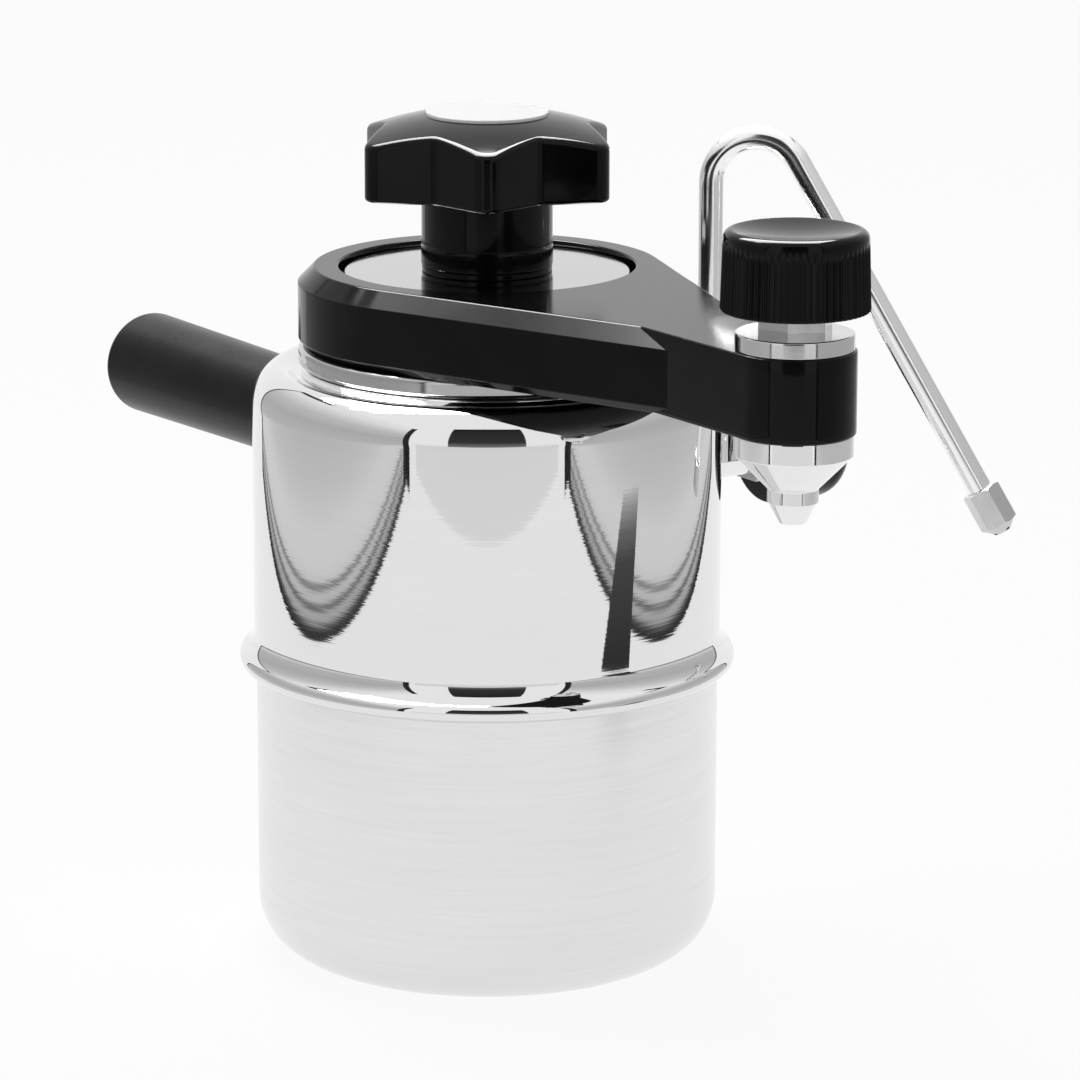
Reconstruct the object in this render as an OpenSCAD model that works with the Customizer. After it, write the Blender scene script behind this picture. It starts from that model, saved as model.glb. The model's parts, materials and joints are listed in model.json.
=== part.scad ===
// Stovetop espresso maker: a two-piece steel boiler with a clamped lid, a coffee tap on an arm and a steam wand.
// Millimetres. The origin is the centre of the foot, on the hob. +Z is up, +X is the arm, -X is the handle
// and +Y is the steam valve.

/* [Boiler] */
// Outer radius of the upper shell
body_r = 58; // [54:0.5:64]
// Height of the flat top round the neck
body_h = 147; // [142:0.5:160]
// Sheet thickness of both shells
shell_t = 1.2; // [0.8:0.1:1.6]
// How much smaller the lower shell's radius is than the upper one's
lower_inset = 0.6; // [0.3:0.1:1]
// Rounding of the foot's corner
foot_fillet = 15; // [8:0.5:18]
// Rounding of the shoulder
shoulder_fillet = 10; // [9:0.5:12]
// Angle at which the shoulder's rounding passes into the crest
shoulder_turn = 55; // [45:1:62]
// Height of the shoulder's crest above the flat top
crest_h = 2; // [1.4:0.1:3]
// Rounding of the crest
crest_roll = 4; // [3:0.1:5]
// Slope of the crest down to the flat top
crest_slope = 35; // [30:1:50]
// Height of the middle of the rolled bead
bead_z = 76.5; // [70:0.5:84]
// How far the bead stands out from the upper shell
bead_out = 3.6; // [2.6:0.1:4.2]
// Radius of the bead's roll
bead_roll = 4; // [3.8:0.1:4.6]
// Radius of the hollow where the bead runs into the wall above it
bead_fillet = 3.5; // [2:0.1:4]
// Height of the hem under the bead
hem_h = 2.4; // [1.6:0.1:3]
// Thickness of the hem under the bead
hem_t = 1.1; // [0.6:0.1:1.4]

/* [Neck] */
// Bore of the neck ring
neck_bore_r = 36; // [34:0.5:37]
// Wall of the neck ring where it goes through the shell
neck_wall = 4; // [3:0.5:5]
// Radius of the neck ring's flange
neck_flange_r = 45.8; // [44.5:0.1:46.4]
// Thickness of the neck ring's flange
neck_flange_h = 2.4; // [2:0.1:3]
// Depth of the neck ring below the shoulder
neck_depth = 14; // [13:0.5:18]
// Width of the ledge that carries the basket
ledge_w = 3.5; // [3:0.1:4]
// Thickness of the ledge that carries the basket
ledge_h = 2; // [1.5:0.1:3]
// How far the two lugs reach into the bore
lug_reach = 5; // [4:0.5:6]
// Thickness of the lugs
lug_h = 3.4; // [3:0.1:4]
// Arc of each lug, in degrees
lug_arc = 44; // [34:1:60]

/* [Clamp] */
// Width of the bridge bar that hooks under the lugs
bar_w = 13; // [12:0.5:16]
// Radius of the clamp stud
stud_r = 5; // [4:0.5:5.5]
// Length of the stud above the lid's crown
stud_above = 23.4; // [20:0.1:24]

/* [Basket] */
// Outer radius of the basket's cup
basket_r = 31; // [28:0.5:31.5]
// Depth of the basket's cup, down to its filter plate
basket_depth = 21; // [16:0.5:26]
// Depth of the funnel under the filter plate
funnel_depth = 10; // [8:0.5:14]
// Outer radius of the funnel's tube
funnel_r = 5; // [4:0.5:6]
// Gap between the funnel's tube and the boiler's floor
funnel_lift = 4; // [3:0.5:8]
// Sheet thickness of the basket and its plates
basket_t = 0.8; // [0.6:0.1:1]
// Thickness of the basket's rim seal
rim_seal_h = 1.5; // [1:0.1:2]
// Radius of the holes in the two filter plates
sieve_hole_r = 0.8; // [0.5:0.1:1]
// Distance between the rings of holes in the filter plates
sieve_pitch = 6; // [5:0.5:7]

/* [Lid] */
// Outer radius of the lid's rim
lid_r = 46.5; // [45.5:0.1:48]
// Height of the lid's rim
lid_rim_h = 4.7; // [4.2:0.1:6]
// Radius of the crown that shows inside the arm's ring
crown_r = 35.2; // [33.5:0.1:36]
// Height of the crown above the rim
crown_h = 18.1; // [16:0.1:20]
// Wall of the crown
crown_t = 2; // [1.5:0.1:3]
// Width of the lid's seal
seal_w = 7.7; // [6:0.1:8]
// Depth of the groove that holds the lid's seal
seal_groove = 1.8; // [1.4:0.1:2.2]

/* [Arm] */
// Outer radius of the arm's ring
arm_ring_r = 46.5; // [45:0.1:48]
// Gap between the arm's ring and the lid's crown
arm_ring_gap = 1.2; // [0.6:0.1:1.6]
// Height of the arm
arm_h = 19.5; // [18:0.5:22]
// Bevel along the top edge of the ring and of the tapered sides
arm_bevel = 4; // [2.5:0.1:5]
// Bevel along the bottom edge of the ring and of the tapered sides
arm_under_bevel = 2; // [1:0.1:3]
// Half width of the arm's end
arm_end_r = 14.3; // [13.9:0.1:16]
// Distance from the lid's axis to the tap's axis
arm_reach = 124.8; // [116:0.1:132]
// Distance from the lid's axis to the kink where the tapered sides end
arm_kink = 95.3; // [84:0.5:98]
// Radius of the coffee duct in the arm
duct_r = 4; // [3:0.5:4.5]
// Wall of the coffee duct
duct_t = 1.4; // [1:0.1:1.6]
// Height of the coffee duct's axis above the arm's underside
duct_lift = 8; // [7:0.1:9]
// Radius of the screws that hold the arm on the lid
screw_r = 1.8; // [1.5:0.1:2]
// Length of the screws that hold the arm on the lid
screw_l = 12; // [9:0.5:14]

/* [Star knob] */
// Radius of the star's lobe tips
star_r = 33.5; // [32:0.5:35]
// Radius of the star's valleys
star_valley_r = 25.5; // [24.5:0.1:26.5]
// Rounding of a lobe's tip
lobe_r = 4.5; // [3:0.1:6]
// Rounding of a valley
valley_r = 4; // [3:0.1:5]
// Direction of one of the lobes, in degrees
lobe_turn = -34; // [-60:1:60]
// Height of the star at its lobe tips
star_h = 16.5; // [14:0.5:18]
// Radius of the star's domed top
dome_r = 90; // [75:1:120]
// Rounding of the lobe tips' top edge
lobe_fillet = 1.5; // [1:0.1:3]
// Radius of the knob's stem
stem_r = 16.2; // [14:0.1:18]
// Height of the knob's stem
stem_h = 18.1; // [14:0.1:20]
// Rounding of the stem's lower edge
stem_fillet = 1.6; // [0.8:0.1:2]
// Radius of the pale disc on the knob
disc_r = 15; // [12:0.5:18]
// Thickness of the pale disc on the knob
disc_t = 0.8; // [0.5:0.1:1]
// Wall of the knob's threaded insert
insert_t = 3; // [2:0.5:4]
// Room in the threaded insert above the stud's end
insert_room = 2; // [1:0.5:4]
// Outer radius of the washer under the stem
washer_r = 14; // [11:0.5:15]
// Thickness of the washer under the stem
washer_t = 1.2; // [0.8:0.1:1.6]

/* [Coffee tap] */
// Radius of the tap's barrel in the arm
tap_r = 9.5; // [9:0.1:10.5]
// Radius of the tap's flange
tap_flange_r = 13.7; // [12.5:0.1:14]
// Thickness of the tap's flange
tap_flange_h = 3.9; // [3:0.1:5]
// Size of the gland nut across its flats
tap_nut_af = 15.4; // [14:0.1:17]
// Height of the gland nut
tap_nut_h = 4.7; // [4:0.1:6]
// Radius of the tap's spindle
spindle_r = 3; // [2.5:0.1:3.4]
// Radius of the chamber round the tap's plug
chamber_r = 5; // [4.8:0.1:5.4]
// Radius of the hole in the tap's seat
seat_hole_r = 2.6; // [2:0.1:3]
// Thickness of the tap's seat
seat_t = 3.5; // [2.5:0.1:4]
// Height of the tap's plug
plug_h = 4.4; // [3.6:0.1:4.8]
// Radius of the knob at its lower edge
tap_knob_r = 17.2; // [15:0.1:19]
// How much smaller the knob's radius is at its top
tap_knob_taper = 0.6; // [0:0.1:1]
// Height of the knob
tap_knob_h = 18.6; // [16:0.1:21]
// Rounding of the knob's top edge
tap_knob_fillet = 2; // [1:0.1:3]
// Depth of the dish in the knob's top
tap_dish = 1.6; // [0.8:0.1:2]
// Number of ribs round the knob
rib_count = 64; // [40:1:80]
// Depth of the ribs
rib_depth = 0.45; // [0.2:0.05:0.6]
// Radius of the nozzle's upper ring
nozzle_r = 13.8; // [12.5:0.1:14.2]
// Height of the nozzle's upper ring
nozzle_ring_h = 4.9; // [4.4:0.1:6]
// Thickness of the nozzle's ring under the tap's barrel
nozzle_floor = 2; // [1.5:0.1:2.4]
// Height of the nozzle's cone
nozzle_cone_h = 8; // [6:0.1:10]
// Radius of the nozzle's neck
nozzle_neck_r = 5.9; // [5:0.1:7]
// Height of the nozzle's neck
nozzle_neck_h = 3.3; // [2.5:0.1:5]
// Step from the nozzle's neck in to its tip
nozzle_step = 0.3; // [0.2:0.1:0.8]
// Radius of the nozzle's tip at its mouth
nozzle_tip_r = 3.1; // [2.6:0.1:3.6]
// Height of the nozzle's tip
nozzle_tip_h = 4.8; // [3.5:0.1:7]
// Radius of the nozzle's bore
nozzle_bore_r = 1.9; // [1.5:0.1:2.1]

/* [Steam valve] */
// Height of the steam valve's axis
steam_z = 116.5; // [106:0.5:122]
// Outer radius of the valve's barrel
steam_r = 5.5; // [5.2:0.1:6.2]
// Radius of the boss on the boiler's wall
steam_boss_r = 8; // [7:0.1:10]
// Length of the boss on the boiler's wall
steam_boss_l = 3; // [2:0.1:3.4]
// Length of the barrel out from the boiler's wall
steam_l = 22; // [21:0.5:24]
// How far the spigot reaches into the boiler
steam_spigot = 6; // [4:0.5:10]
// Radius of the chamber in the barrel
steam_chamber_r = 3.9; // [3.7:0.1:4.1]
// Distance from the boiler's wall to the valve's seat
steam_seat = 5.5; // [5:0.1:6]
// Radius of the inlet behind the seat
steam_inlet_r = 1.8; // [1.4:0.1:2.2]
// Length of the steam plug
steam_plug_l = 3; // [2.6:0.1:3.4]
// Radius of the steam spindle
steam_spindle_r = 2.2; // [1.8:0.1:2.5]
// Size of the steam gland nut across its flats
steam_nut_af = 14; // [12.5:0.1:16]
// Length of the steam gland nut
steam_nut_l = 5.2; // [4:0.1:6]
// Radius of the steam knob
steam_knob_r = 13.8; // [12:0.1:16]
// Length of the steam knob
steam_knob_l = 20; // [15:0.5:22]
// Rounding of the steam knob's outer end
steam_knob_fillet = 6; // [3:0.5:8]
// Depth of the steam packing below the barrel's end
steam_packing_in = 2; // [1.5:0.1:2.5]
// Length of a gland's packing
packing_l = 2.5; // [2:0.1:3]

/* [Steam wand] */
// Distance from the boiler's wall to the wand's swivel axis
wand_out = 9.9; // [8.5:0.1:10.4]
// Radius of the wand's tube
wand_r = 3.15; // [2.8:0.05:3.4]
// Wall of the wand's tube
wand_t = 0.8; // [0.6:0.1:1]
// Height of the wand's upright leg above the valve's axis
wand_rise = 71.1; // [60:0.1:80]
// Radius of the wand's bend, at the middle of the tube
wand_bend = 11.8; // [11:0.1:16]
// Lean of the wand's free leg from the vertical, in degrees
wand_lean = 30; // [20:1:40]
// Length of the wand's free leg, to the tip's end
wand_leg = 107; // [90:1:116]
// Direction that the wand points, in degrees from the arm
wand_turn = 45; // [10:1:90]
// Size of the wand's tip across its flats
tip_af = 8.6; // [8:0.1:10]
// Length of the tip's hexagon
tip_l = 10.2; // [8:0.1:13]
// Length of the tip's cone
tip_cone = 2; // [1.4:0.1:2.4]
// Radius of the holes in the tip
tip_hole_r = 0.6; // [0.4:0.1:0.8]
// Outer radius of the wand's socket on the valve
socket_r = 6.4; // [6.2:0.1:7]
// Height of the wand's socket above the valve's axis
socket_h = 11; // [10.6:0.1:13]
// Wall of the sleeve that turns in the wand's socket
sleeve_t = 0.7; // [0.5:0.05:0.8]
// Radius of the wand's collar
collar_r = 4.6; // [4.4:0.1:4.8]
// Height of the wand's collar
collar_h = 2.2; // [1.6:0.1:2.6]
// Thickness of the wand's seal
wand_seal_h = 1.6; // [1.2:0.1:1.8]
// Size of the wand's union nut across its flats
union_af = 14; // [13:0.1:16]
// Height of the wand's union nut
union_h = 5; // [4:0.1:7]

/* [Handle] */
// Height of the handle's axis
handle_z = 121.2; // [110:0.1:123]
// Distance from the boiler's axis to the handle's end
handle_reach = 165.5; // [150:0.5:180]
// Radius of the grip at the boiler
handle_root_r = 12.3; // [11:0.05:13]
// Radius of the grip at its end
handle_end_r = 13.6; // [12:0.1:15]
// Rounding of the grip's end
handle_fillet = 2.5; // [1:0.1:4]
// Radius of the boss that carries the handle
handle_boss_r = 9; // [8:0.1:11]
// Length of the boss that carries the handle
handle_boss_l = 12; // [9:0.5:14]
// Radius of the rod inside the grip
handle_rod_r = 4; // [3:0.1:5]
// Length of the rod inside the grip
handle_rod_l = 60; // [45:1:75]
// Distance from the boiler's wall to the rod's inner end
handle_rod_in = 3; // [2:0.5:5]

/* [Safety valve] */
// Height of the safety valve's axis
safety_z = 112; // [100:0.5:118]
// Direction of the safety valve, in degrees from the arm
safety_turn = 135; // [125:1:145]
// Radius of the safety valve's barrel
safety_r = 6; // [5.6:0.1:6.5]
// Length of the safety valve's barrel out from the wall
safety_l = 17; // [16:0.5:20]
// Length of the hexagon at the safety valve's root
safety_hex_l = 5; // [4:0.1:6]
// Size of the safety valve's hexagon across its flats
safety_hex_af = 15; // [14:0.1:17]
// Radius of the safety valve's inlet
safety_inlet_r = 2; // [1.5:0.1:2.4]
// Radius of the bore that holds the spring
safety_bore_r = 4; // [3.8:0.1:4.4]
// Distance from the boiler's wall to the relief plug's seat
relief_seat = 4.5; // [4:0.1:5]
// Radius of the relief plug
relief_r = 3.5; // [3.3:0.1:3.7]
// Thickness of the relief plug
relief_t = 2; // [1.6:0.1:2.4]
// Radius of the relief plug's stem
relief_stem_r = 1.4; // [1.2:0.1:1.6]
// Thickness of the safety valve's cap
cap_t = 3; // [2:0.1:3.4]
// Wire radius of the relief spring
spring_wire_r = 0.35; // [0.25:0.05:0.4]
// Mean radius of the relief spring
spring_r = 2.8; // [2.6:0.05:3]
// Number of curls in the relief spring
spring_curls = 5; // [4:1:6]

/* [Fits] */
// Radial clearance of turning and sliding fits
run_gap = 0.05; // [0.02:0.01:0.09]
// Gap between pieces that rest on each other and then move apart
seat_gap = 0.15; // [0.05:0.05:0.3]
// Gap round pieces that pass through a larger hole
pass_gap = 0.4; // [0.3:0.05:0.6]

/* [Hidden] */
$fn = 96;

far = 400;
steel = "gainsboro";
chrome = "silver";
black = [0.06, 0.06, 0.07];

// Boiler levels and radii
lower_r = body_r - lower_inset;
upper_bore_r = body_r - shell_t;
crest_centre_z = body_h + crest_h - crest_roll;
wall_top = crest_centre_z - (shoulder_fillet - crest_roll) * sin(shoulder_turn);
shoulder_centre = [body_r - shoulder_fillet, wall_top];
crest_centre = [shoulder_centre[0] + (shoulder_fillet - crest_roll) * cos(shoulder_turn), crest_centre_z];
bead_centre_r = body_r + bead_out - bead_roll;
neck_stem_r = neck_bore_r + neck_wall;

// Neck levels, from the ledge up
neck_top = body_h + neck_flange_h;
ledge_bottom = body_h - neck_depth;
ledge_top = ledge_bottom + ledge_h;
basket_rim_r = neck_bore_r - pass_gap;
basket_rim_top = ledge_top + basket_t;
rim_seal_top = basket_rim_top + rim_seal_h;
screen_top = rim_seal_top + basket_t;
lug_bottom = neck_top - lug_h;
bar_half_l = neck_bore_r - pass_gap;

// Lid levels
lid_bottom = neck_top + 2 * seat_gap;
lid_rim_top = lid_bottom + lid_rim_h;
crown_top = lid_rim_top + crown_h;
seal_outer_r = neck_flange_r - crown_t + pass_gap;
seal_inner_r = seal_outer_r - seal_w;
seal_top = lid_bottom + seal_groove;
stud_top = crown_top + stud_above;

// Arm levels and the direction of its tapered sides
arm_bottom = lid_rim_top;
arm_top = arm_bottom + arm_h;
arm_bore_r = crown_r + arm_ring_gap;
taper_normal = atan2(arm_end_r, arm_kink) + acos(arm_ring_r / norm([arm_kink, arm_end_r]));
duct_z = arm_bottom + duct_lift;
screw_ring_r = (arm_bore_r + arm_ring_r) / 2;

// Star knob levels and outline
washer_bottom = crown_top + seat_gap;
washer_top = washer_bottom + washer_t;
stem_bottom = washer_top + seat_gap;
star_bottom = stem_bottom + stem_h;
star_top = star_bottom + star_h;
lobe_count = 6;
lobe_centre_r = star_r - lobe_r;
half_lobe = 180 / lobe_count;
valley_centre_r = star_valley_r + valley_r;
// A straight flank touches the roundings of a tip and of the valley beside it
flank_out = valley_centre_r * cos(half_lobe) - lobe_centre_r;
flank_side = valley_centre_r * sin(half_lobe);
flank_turn = atan2(flank_side, flank_out) - acos((lobe_r + valley_r) / norm([flank_out, flank_side]));
dome_top = star_top + dome_r - sqrt(dome_r * dome_r - star_valley_r * star_valley_r);
tip_z = dome_top - dome_r + sqrt(dome_r * dome_r - (star_r - lobe_fillet) * (star_r - lobe_fillet));
disc_seat = dome_top - (dome_r - sqrt(dome_r * dome_r - disc_r * disc_r));
insert_r = stud_r + run_gap + insert_t;
insert_top = stud_top + insert_room;

// Coffee tap levels
tap_flange_top = arm_top + tap_flange_h;
tap_nut_top = tap_flange_top + tap_nut_h;
tap_knob_bottom = tap_nut_top + 2 * seat_gap;
tap_knob_top = tap_knob_bottom + tap_knob_h;
socket_depth = nozzle_ring_h - nozzle_floor;
tap_bottom = arm_bottom - socket_depth;
seat_top = tap_bottom + seat_t;
plug_bottom = seat_top + seat_gap;
plug_top = plug_bottom + plug_h;
spindle_foot = plug_bottom + plug_h / 2;
spindle_hold = tap_knob_h * 0.6;
gland_r = chamber_r + 0.5;
packing_top = arm_top - 1;
packing_bottom = packing_top - packing_l;
nozzle_ring_bottom = arm_bottom - nozzle_ring_h;
nozzle_neck_top = nozzle_ring_bottom - nozzle_cone_h;
nozzle_neck_bottom = nozzle_neck_top - nozzle_neck_h;
nozzle_mouth = nozzle_neck_bottom - nozzle_tip_h;

// Steam valve stations along its axis, measured from the boiler's axis
steam_end = body_r + steam_l;
steam_seat_y = body_r + steam_seat;
steam_plug_y = steam_seat_y + seat_gap;
steam_plug_end = steam_plug_y + steam_plug_l;
steam_foot_y = steam_plug_y + steam_plug_l / 2;
steam_packing_y = steam_end - steam_packing_in - packing_l;
steam_nut_end = steam_end + steam_nut_l;
steam_knob_y = steam_nut_end + 2 * seat_gap;
steam_hold = steam_knob_l * 0.6;

// Steam wand
wand_y = body_r + wand_out;
socket_top = steam_z + socket_h;
collar_top = socket_top - 2 * seat_gap;
collar_bottom = collar_top - collar_h;
wand_seal_top = collar_bottom - seat_gap;
wand_seal_bottom = wand_seal_top - wand_seal_h;
sleeve_r = wand_r + sleeve_t;
counterbore_r = collar_r + 2 * seat_gap;
wand_foot = wand_seal_bottom - 2;
wand_port = wand_foot - seat_gap;
bend_z = steam_z + wand_rise;
bend_sweep = 180 - wand_lean;
tip_hold = tip_l * 0.6;

// Handle stations, measured out from the boiler's axis
grip_root = body_r + handle_boss_l;
rod_root = body_r + handle_rod_in;
rod_end = rod_root + handle_rod_l;

// Safety valve stations, measured out from the boiler's axis
safety_end = body_r + safety_l;
safety_hex_end = body_r + safety_hex_l;
relief_foot = body_r + relief_seat;
relief_top = relief_foot + relief_t;
cap_inner = safety_end - cap_t;
spring_l = cap_inner - relief_top - 2 * spring_wire_r - 4 * seat_gap;

// Shapes that repeat

module ring(inner, outer, bottom, top) {
    rotate_extrude() translate([inner, bottom]) square([outer - inner, top - bottom]);
}

module hexagon(across, bottom, top) {
    translate([0, 0, bottom]) cylinder(d = across / cos(30), h = top - bottom, $fn = 6);
}

// A hexagonal nut whose corners are turned down at one end or at both
module nut(across, bottom, top, both = false) {
    chamfer = (across / cos(30) - across) / 2;
    intersection() {
        hexagon(across, bottom, top);
        union() {
            translate([0, 0, top - chamfer * 0.6])
                cylinder(r1 = across / cos(30) / 2, r2 = across / 2 - chamfer * 0.1, h = chamfer * 0.6);
            translate([0, 0, both ? bottom + chamfer * 0.6 : bottom])
                cylinder(d = across / cos(30), h = top - bottom - chamfer * (both ? 1.2 : 0.6));
            if (both)
                translate([0, 0, bottom])
                    cylinder(r1 = across / 2 - chamfer * 0.1, r2 = across / cos(30) / 2, h = chamfer * 0.6);
        }
    }
}

// Turn a piece that is drawn along +Z so that it lies along another direction
module along_x() { rotate([0, 90, 0]) children(); }
module along_steam_axis() { translate([0, 0, steam_z]) rotate([-90, 0, 0]) children(); }
module along_handle_axis() { translate([0, 0, handle_z]) rotate([0, -90, 0]) children(); }
module along_safety_axis() { translate([0, 0, safety_z]) rotate([0, 0, safety_turn]) along_x() children(); }
module at_tap() { translate([arm_reach, 0, 0]) children(); }
module at_wand() { translate([0, wand_y, 0]) children(); }

module boiler_inside() { cylinder(r = body_r, h = body_h); }

// Rings of holes round one in the middle, spaced evenly
module sieve_holes(limit_r, bottom, top, free_r = 0) {
    rings = floor((limit_r - 2 * sieve_hole_r) / sieve_pitch);
    for (i = [0 : rings])
        if (i * sieve_pitch >= free_r)
            for (j = [0 : max(6 * i, 1) - 1])
                rotate([0, 0, j * 360 / max(6 * i, 1)])
                    translate([i * sieve_pitch, 0, bottom - 1])
                        cylinder(r = sieve_hole_r, h = top - bottom + 2, $fn = 16);
}

// Boiler

module cup_section(r, fillet, bottom, top) {
    translate([0, bottom]) square([r - fillet, top - bottom]);
    translate([0, bottom + fillet]) square([r, top - bottom - fillet]);
    translate([r - fillet, bottom + fillet]) circle(r = fillet);
}

module right_half() { intersection() { translate([0, -far]) square(2 * far); children(); } }

module lower_shell() {
    color(steel) rotate_extrude() right_half() difference() {
        cup_section(lower_r, foot_fillet, 0, bead_z);
        cup_section(lower_r - shell_t, foot_fillet - shell_t, shell_t, bead_z + 1);
    }
}

module bead_section() {
    reach = bead_roll + bead_fillet;
    hollow_r = body_r + bead_fillet;
    hollow_z = bead_z + sqrt(reach * reach - pow(hollow_r - bead_centre_r, 2));
    translate([bead_centre_r, bead_z]) circle(r = bead_roll);
    translate([lower_r, bead_z - bead_roll - hem_h / 2]) square([hem_t, hem_h]);
    difference() {
        polygon([[bead_centre_r, bead_z], [hollow_r, hollow_z], [upper_bore_r, hollow_z]]);
        translate([hollow_r, hollow_z]) circle(r = bead_fillet);
    }
}

// Points of an arc, without its last one.
function arc(centre, radius, from, to, steps = 10) =
    [for (i = [0:steps - 1]) let (a = from + (to - from) * i / steps) centre + radius * [cos(a), sin(a)]];

// One face of the upper sheet, a given depth below its outside, from the bead over the crest to the flat top.
function sheet_line(depth) =
    let (
        over = 90 + crest_slope,
        crest_end = crest_centre + (crest_roll - depth) * [cos(over), sin(over)],
        flat_z = body_h - depth,
        flat_start = [crest_end[0] - (crest_end[1] - flat_z) / tan(crest_slope), flat_z]
    )
    concat(
        [[body_r - depth, bead_z]],
        arc(shoulder_centre, shoulder_fillet - depth, 0, shoulder_turn),
        arc(crest_centre, crest_roll - depth, shoulder_turn, over),
        [crest_end, flat_start, [neck_stem_r, flat_z]]
    );

module sheet_section() {
    outside = sheet_line(0);
    inside = sheet_line(shell_t);
    polygon(concat(outside, [for (i = [len(inside) - 1:-1:0]) inside[i]]));
}

module upper_shell() {
    color(steel) difference() {
        rotate_extrude() {
            difference() {
                bead_section();
                square([lower_r, bead_z]);
                translate([0, bead_z]) square([upper_bore_r, body_h]);
            }
            sheet_section();
        }
        along_steam_axis() cylinder(r = steam_r, h = far);
        along_safety_axis() cylinder(r = safety_r, h = far);
    }
}

module neck_ring() {
    color(chrome) {
        ring(neck_bore_r, neck_stem_r, ledge_bottom, neck_top);
        ring(neck_bore_r, neck_flange_r, body_h, neck_top);
        ring(neck_bore_r - ledge_w, neck_bore_r + neck_wall / 2, ledge_bottom, ledge_top);
        for (side = [0, 180])
            rotate([0, 0, side - lug_arc / 2])
                rotate_extrude(angle = lug_arc)
                    translate([neck_bore_r - lug_reach, lug_bottom])
                        square([lug_reach + neck_wall / 2, lug_h]);
    }
}

module bridge_bar() {
    color(steel) difference() {
        intersection() {
            translate([-bar_half_l, -bar_w / 2, screen_top])
                cube([2 * bar_half_l, bar_w, lug_bottom - screen_top]);
            cylinder(r = bar_half_l, h = far);
        }
        cylinder(r = stud_r, h = far);
    }
}

module clamp_stud() {
    point = stud_r / 4;
    color(steel) {
        translate([0, 0, screen_top]) cylinder(r = stud_r, h = stud_top - point - screen_top);
        translate([0, 0, stud_top - point]) cylinder(r1 = stud_r, r2 = stud_r - point, h = point);
    }
}

// Basket

basket_floor = ledge_top - basket_depth;
funnel_end = basket_floor - funnel_depth;
plate_r = basket_r - basket_t;

module coffee_basket() {
    tube_end = shell_t + funnel_lift;
    color(steel) rotate_extrude() polygon([
        [basket_rim_r, ledge_top], [basket_rim_r, basket_rim_top], [plate_r, basket_rim_top],
        [plate_r, basket_floor], [plate_r - 2 * basket_t, basket_floor], [funnel_r - basket_t, funnel_end],
        [funnel_r - basket_t, tube_end], [funnel_r, tube_end], [funnel_r, funnel_end - basket_t],
        [basket_r, basket_floor - basket_t], [basket_r, ledge_top]
    ]);
}

module basket_plate() {
    color(steel) difference() {
        ring(0, plate_r, basket_floor, basket_floor + basket_t);
        sieve_holes(plate_r, basket_floor, basket_floor + basket_t);
    }
}

module rim_seal() {
    color("dimgray") ring(basket_r - basket_t, basket_rim_r, basket_rim_top, rim_seal_top);
}

module top_screen() {
    color(steel) difference() {
        ring(0, basket_rim_r, rim_seal_top, screen_top);
        sieve_holes(basket_r - basket_t, rim_seal_top, screen_top, stud_r);
    }
}

// Lid

module lid_plate() {
    color(chrome) difference() {
        union() {
            ring(crown_r - crown_t, lid_r, lid_bottom, lid_rim_top);
            ring(crown_r - crown_t, crown_r, lid_bottom, crown_top);
            ring(stud_r + pass_gap, crown_r, crown_top - crown_t, crown_top);
        }
        ring(seal_inner_r, seal_outer_r, lid_bottom - 1, seal_top);
        arm_screw_places() arm_screw_shape();
        translate([0, 0, duct_z]) along_x() cylinder(r = duct_r, h = far);
    }
}

module lid_seal() {
    color("dimgray") ring(seal_inner_r, seal_outer_r, neck_top + seat_gap, seal_top);
}

// Arm

module arm_screw_places() {
    for (turn = [60, 150, 210, 300])
        rotate([0, 0, turn]) translate([screw_ring_r, 0, seal_top]) children();
}

module arm_screw_shape() {
    cylinder(r1 = 2 * screw_r, r2 = screw_r, h = screw_r);
    cylinder(r = screw_r, h = screw_l);
}

module arm_screws() { color(steel) arm_screw_places() arm_screw_shape(); }

module ring_section() {
    polygon([
        [0, arm_bottom], [arm_ring_r - arm_under_bevel, arm_bottom], [arm_ring_r, arm_bottom + arm_under_bevel],
        [arm_ring_r, arm_top - arm_bevel], [arm_ring_r - arm_bevel, arm_top], [0, arm_top]
    ]);
}

// The slanting plane that bevels one tapered side, along its upper or its lower edge
module bevel_plane(side, height, lean) {
    rotate([0, 0, side * taper_normal]) translate([arm_ring_r, 0, height]) rotate([0, lean, 0])
        translate([0, -far, -far]) cube([far, 2 * far, 2 * far]);
}

module tapered_sides() {
    touch = arm_ring_r * [cos(taper_normal), sin(taper_normal)];
    difference() {
        translate([0, 0, arm_bottom]) linear_extrude(arm_h)
            polygon([touch, [arm_kink, arm_end_r], [arm_kink, -arm_end_r], [touch.x, -touch.y]]);
        for (side = [-1, 1]) {
            bevel_plane(side, arm_top - arm_bevel, -45);
            bevel_plane(side, arm_bottom + arm_under_bevel, 45);
        }
    }
}

module arm() {
    bar_start = arm_kink - 2 * arm_end_r;
    color(black) difference() {
        union() {
            rotate_extrude() ring_section();
            tapered_sides();
            translate([bar_start, -arm_end_r, arm_bottom]) cube([arm_reach - bar_start, 2 * arm_end_r, arm_h]);
            at_tap() ring(0, arm_end_r, arm_bottom, arm_top);
        }
        translate([0, 0, arm_bottom - 1]) cylinder(r = arm_bore_r, h = arm_h + 2);
        at_tap() translate([0, 0, arm_bottom - 1]) cylinder(r = tap_r, h = arm_h + 2);
        translate([0, 0, duct_z]) along_x() cylinder(r = duct_r, h = arm_reach);
        arm_screw_places() arm_screw_shape();
    }
}

module coffee_duct() {
    start = crown_r - crown_t - 1;
    color(steel) difference() {
        translate([0, 0, duct_z]) along_x() ring(duct_r - duct_t, duct_r, start, arm_reach);
        at_tap() cylinder(r = tap_r, h = far);
    }
}

// Coffee tap

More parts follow.
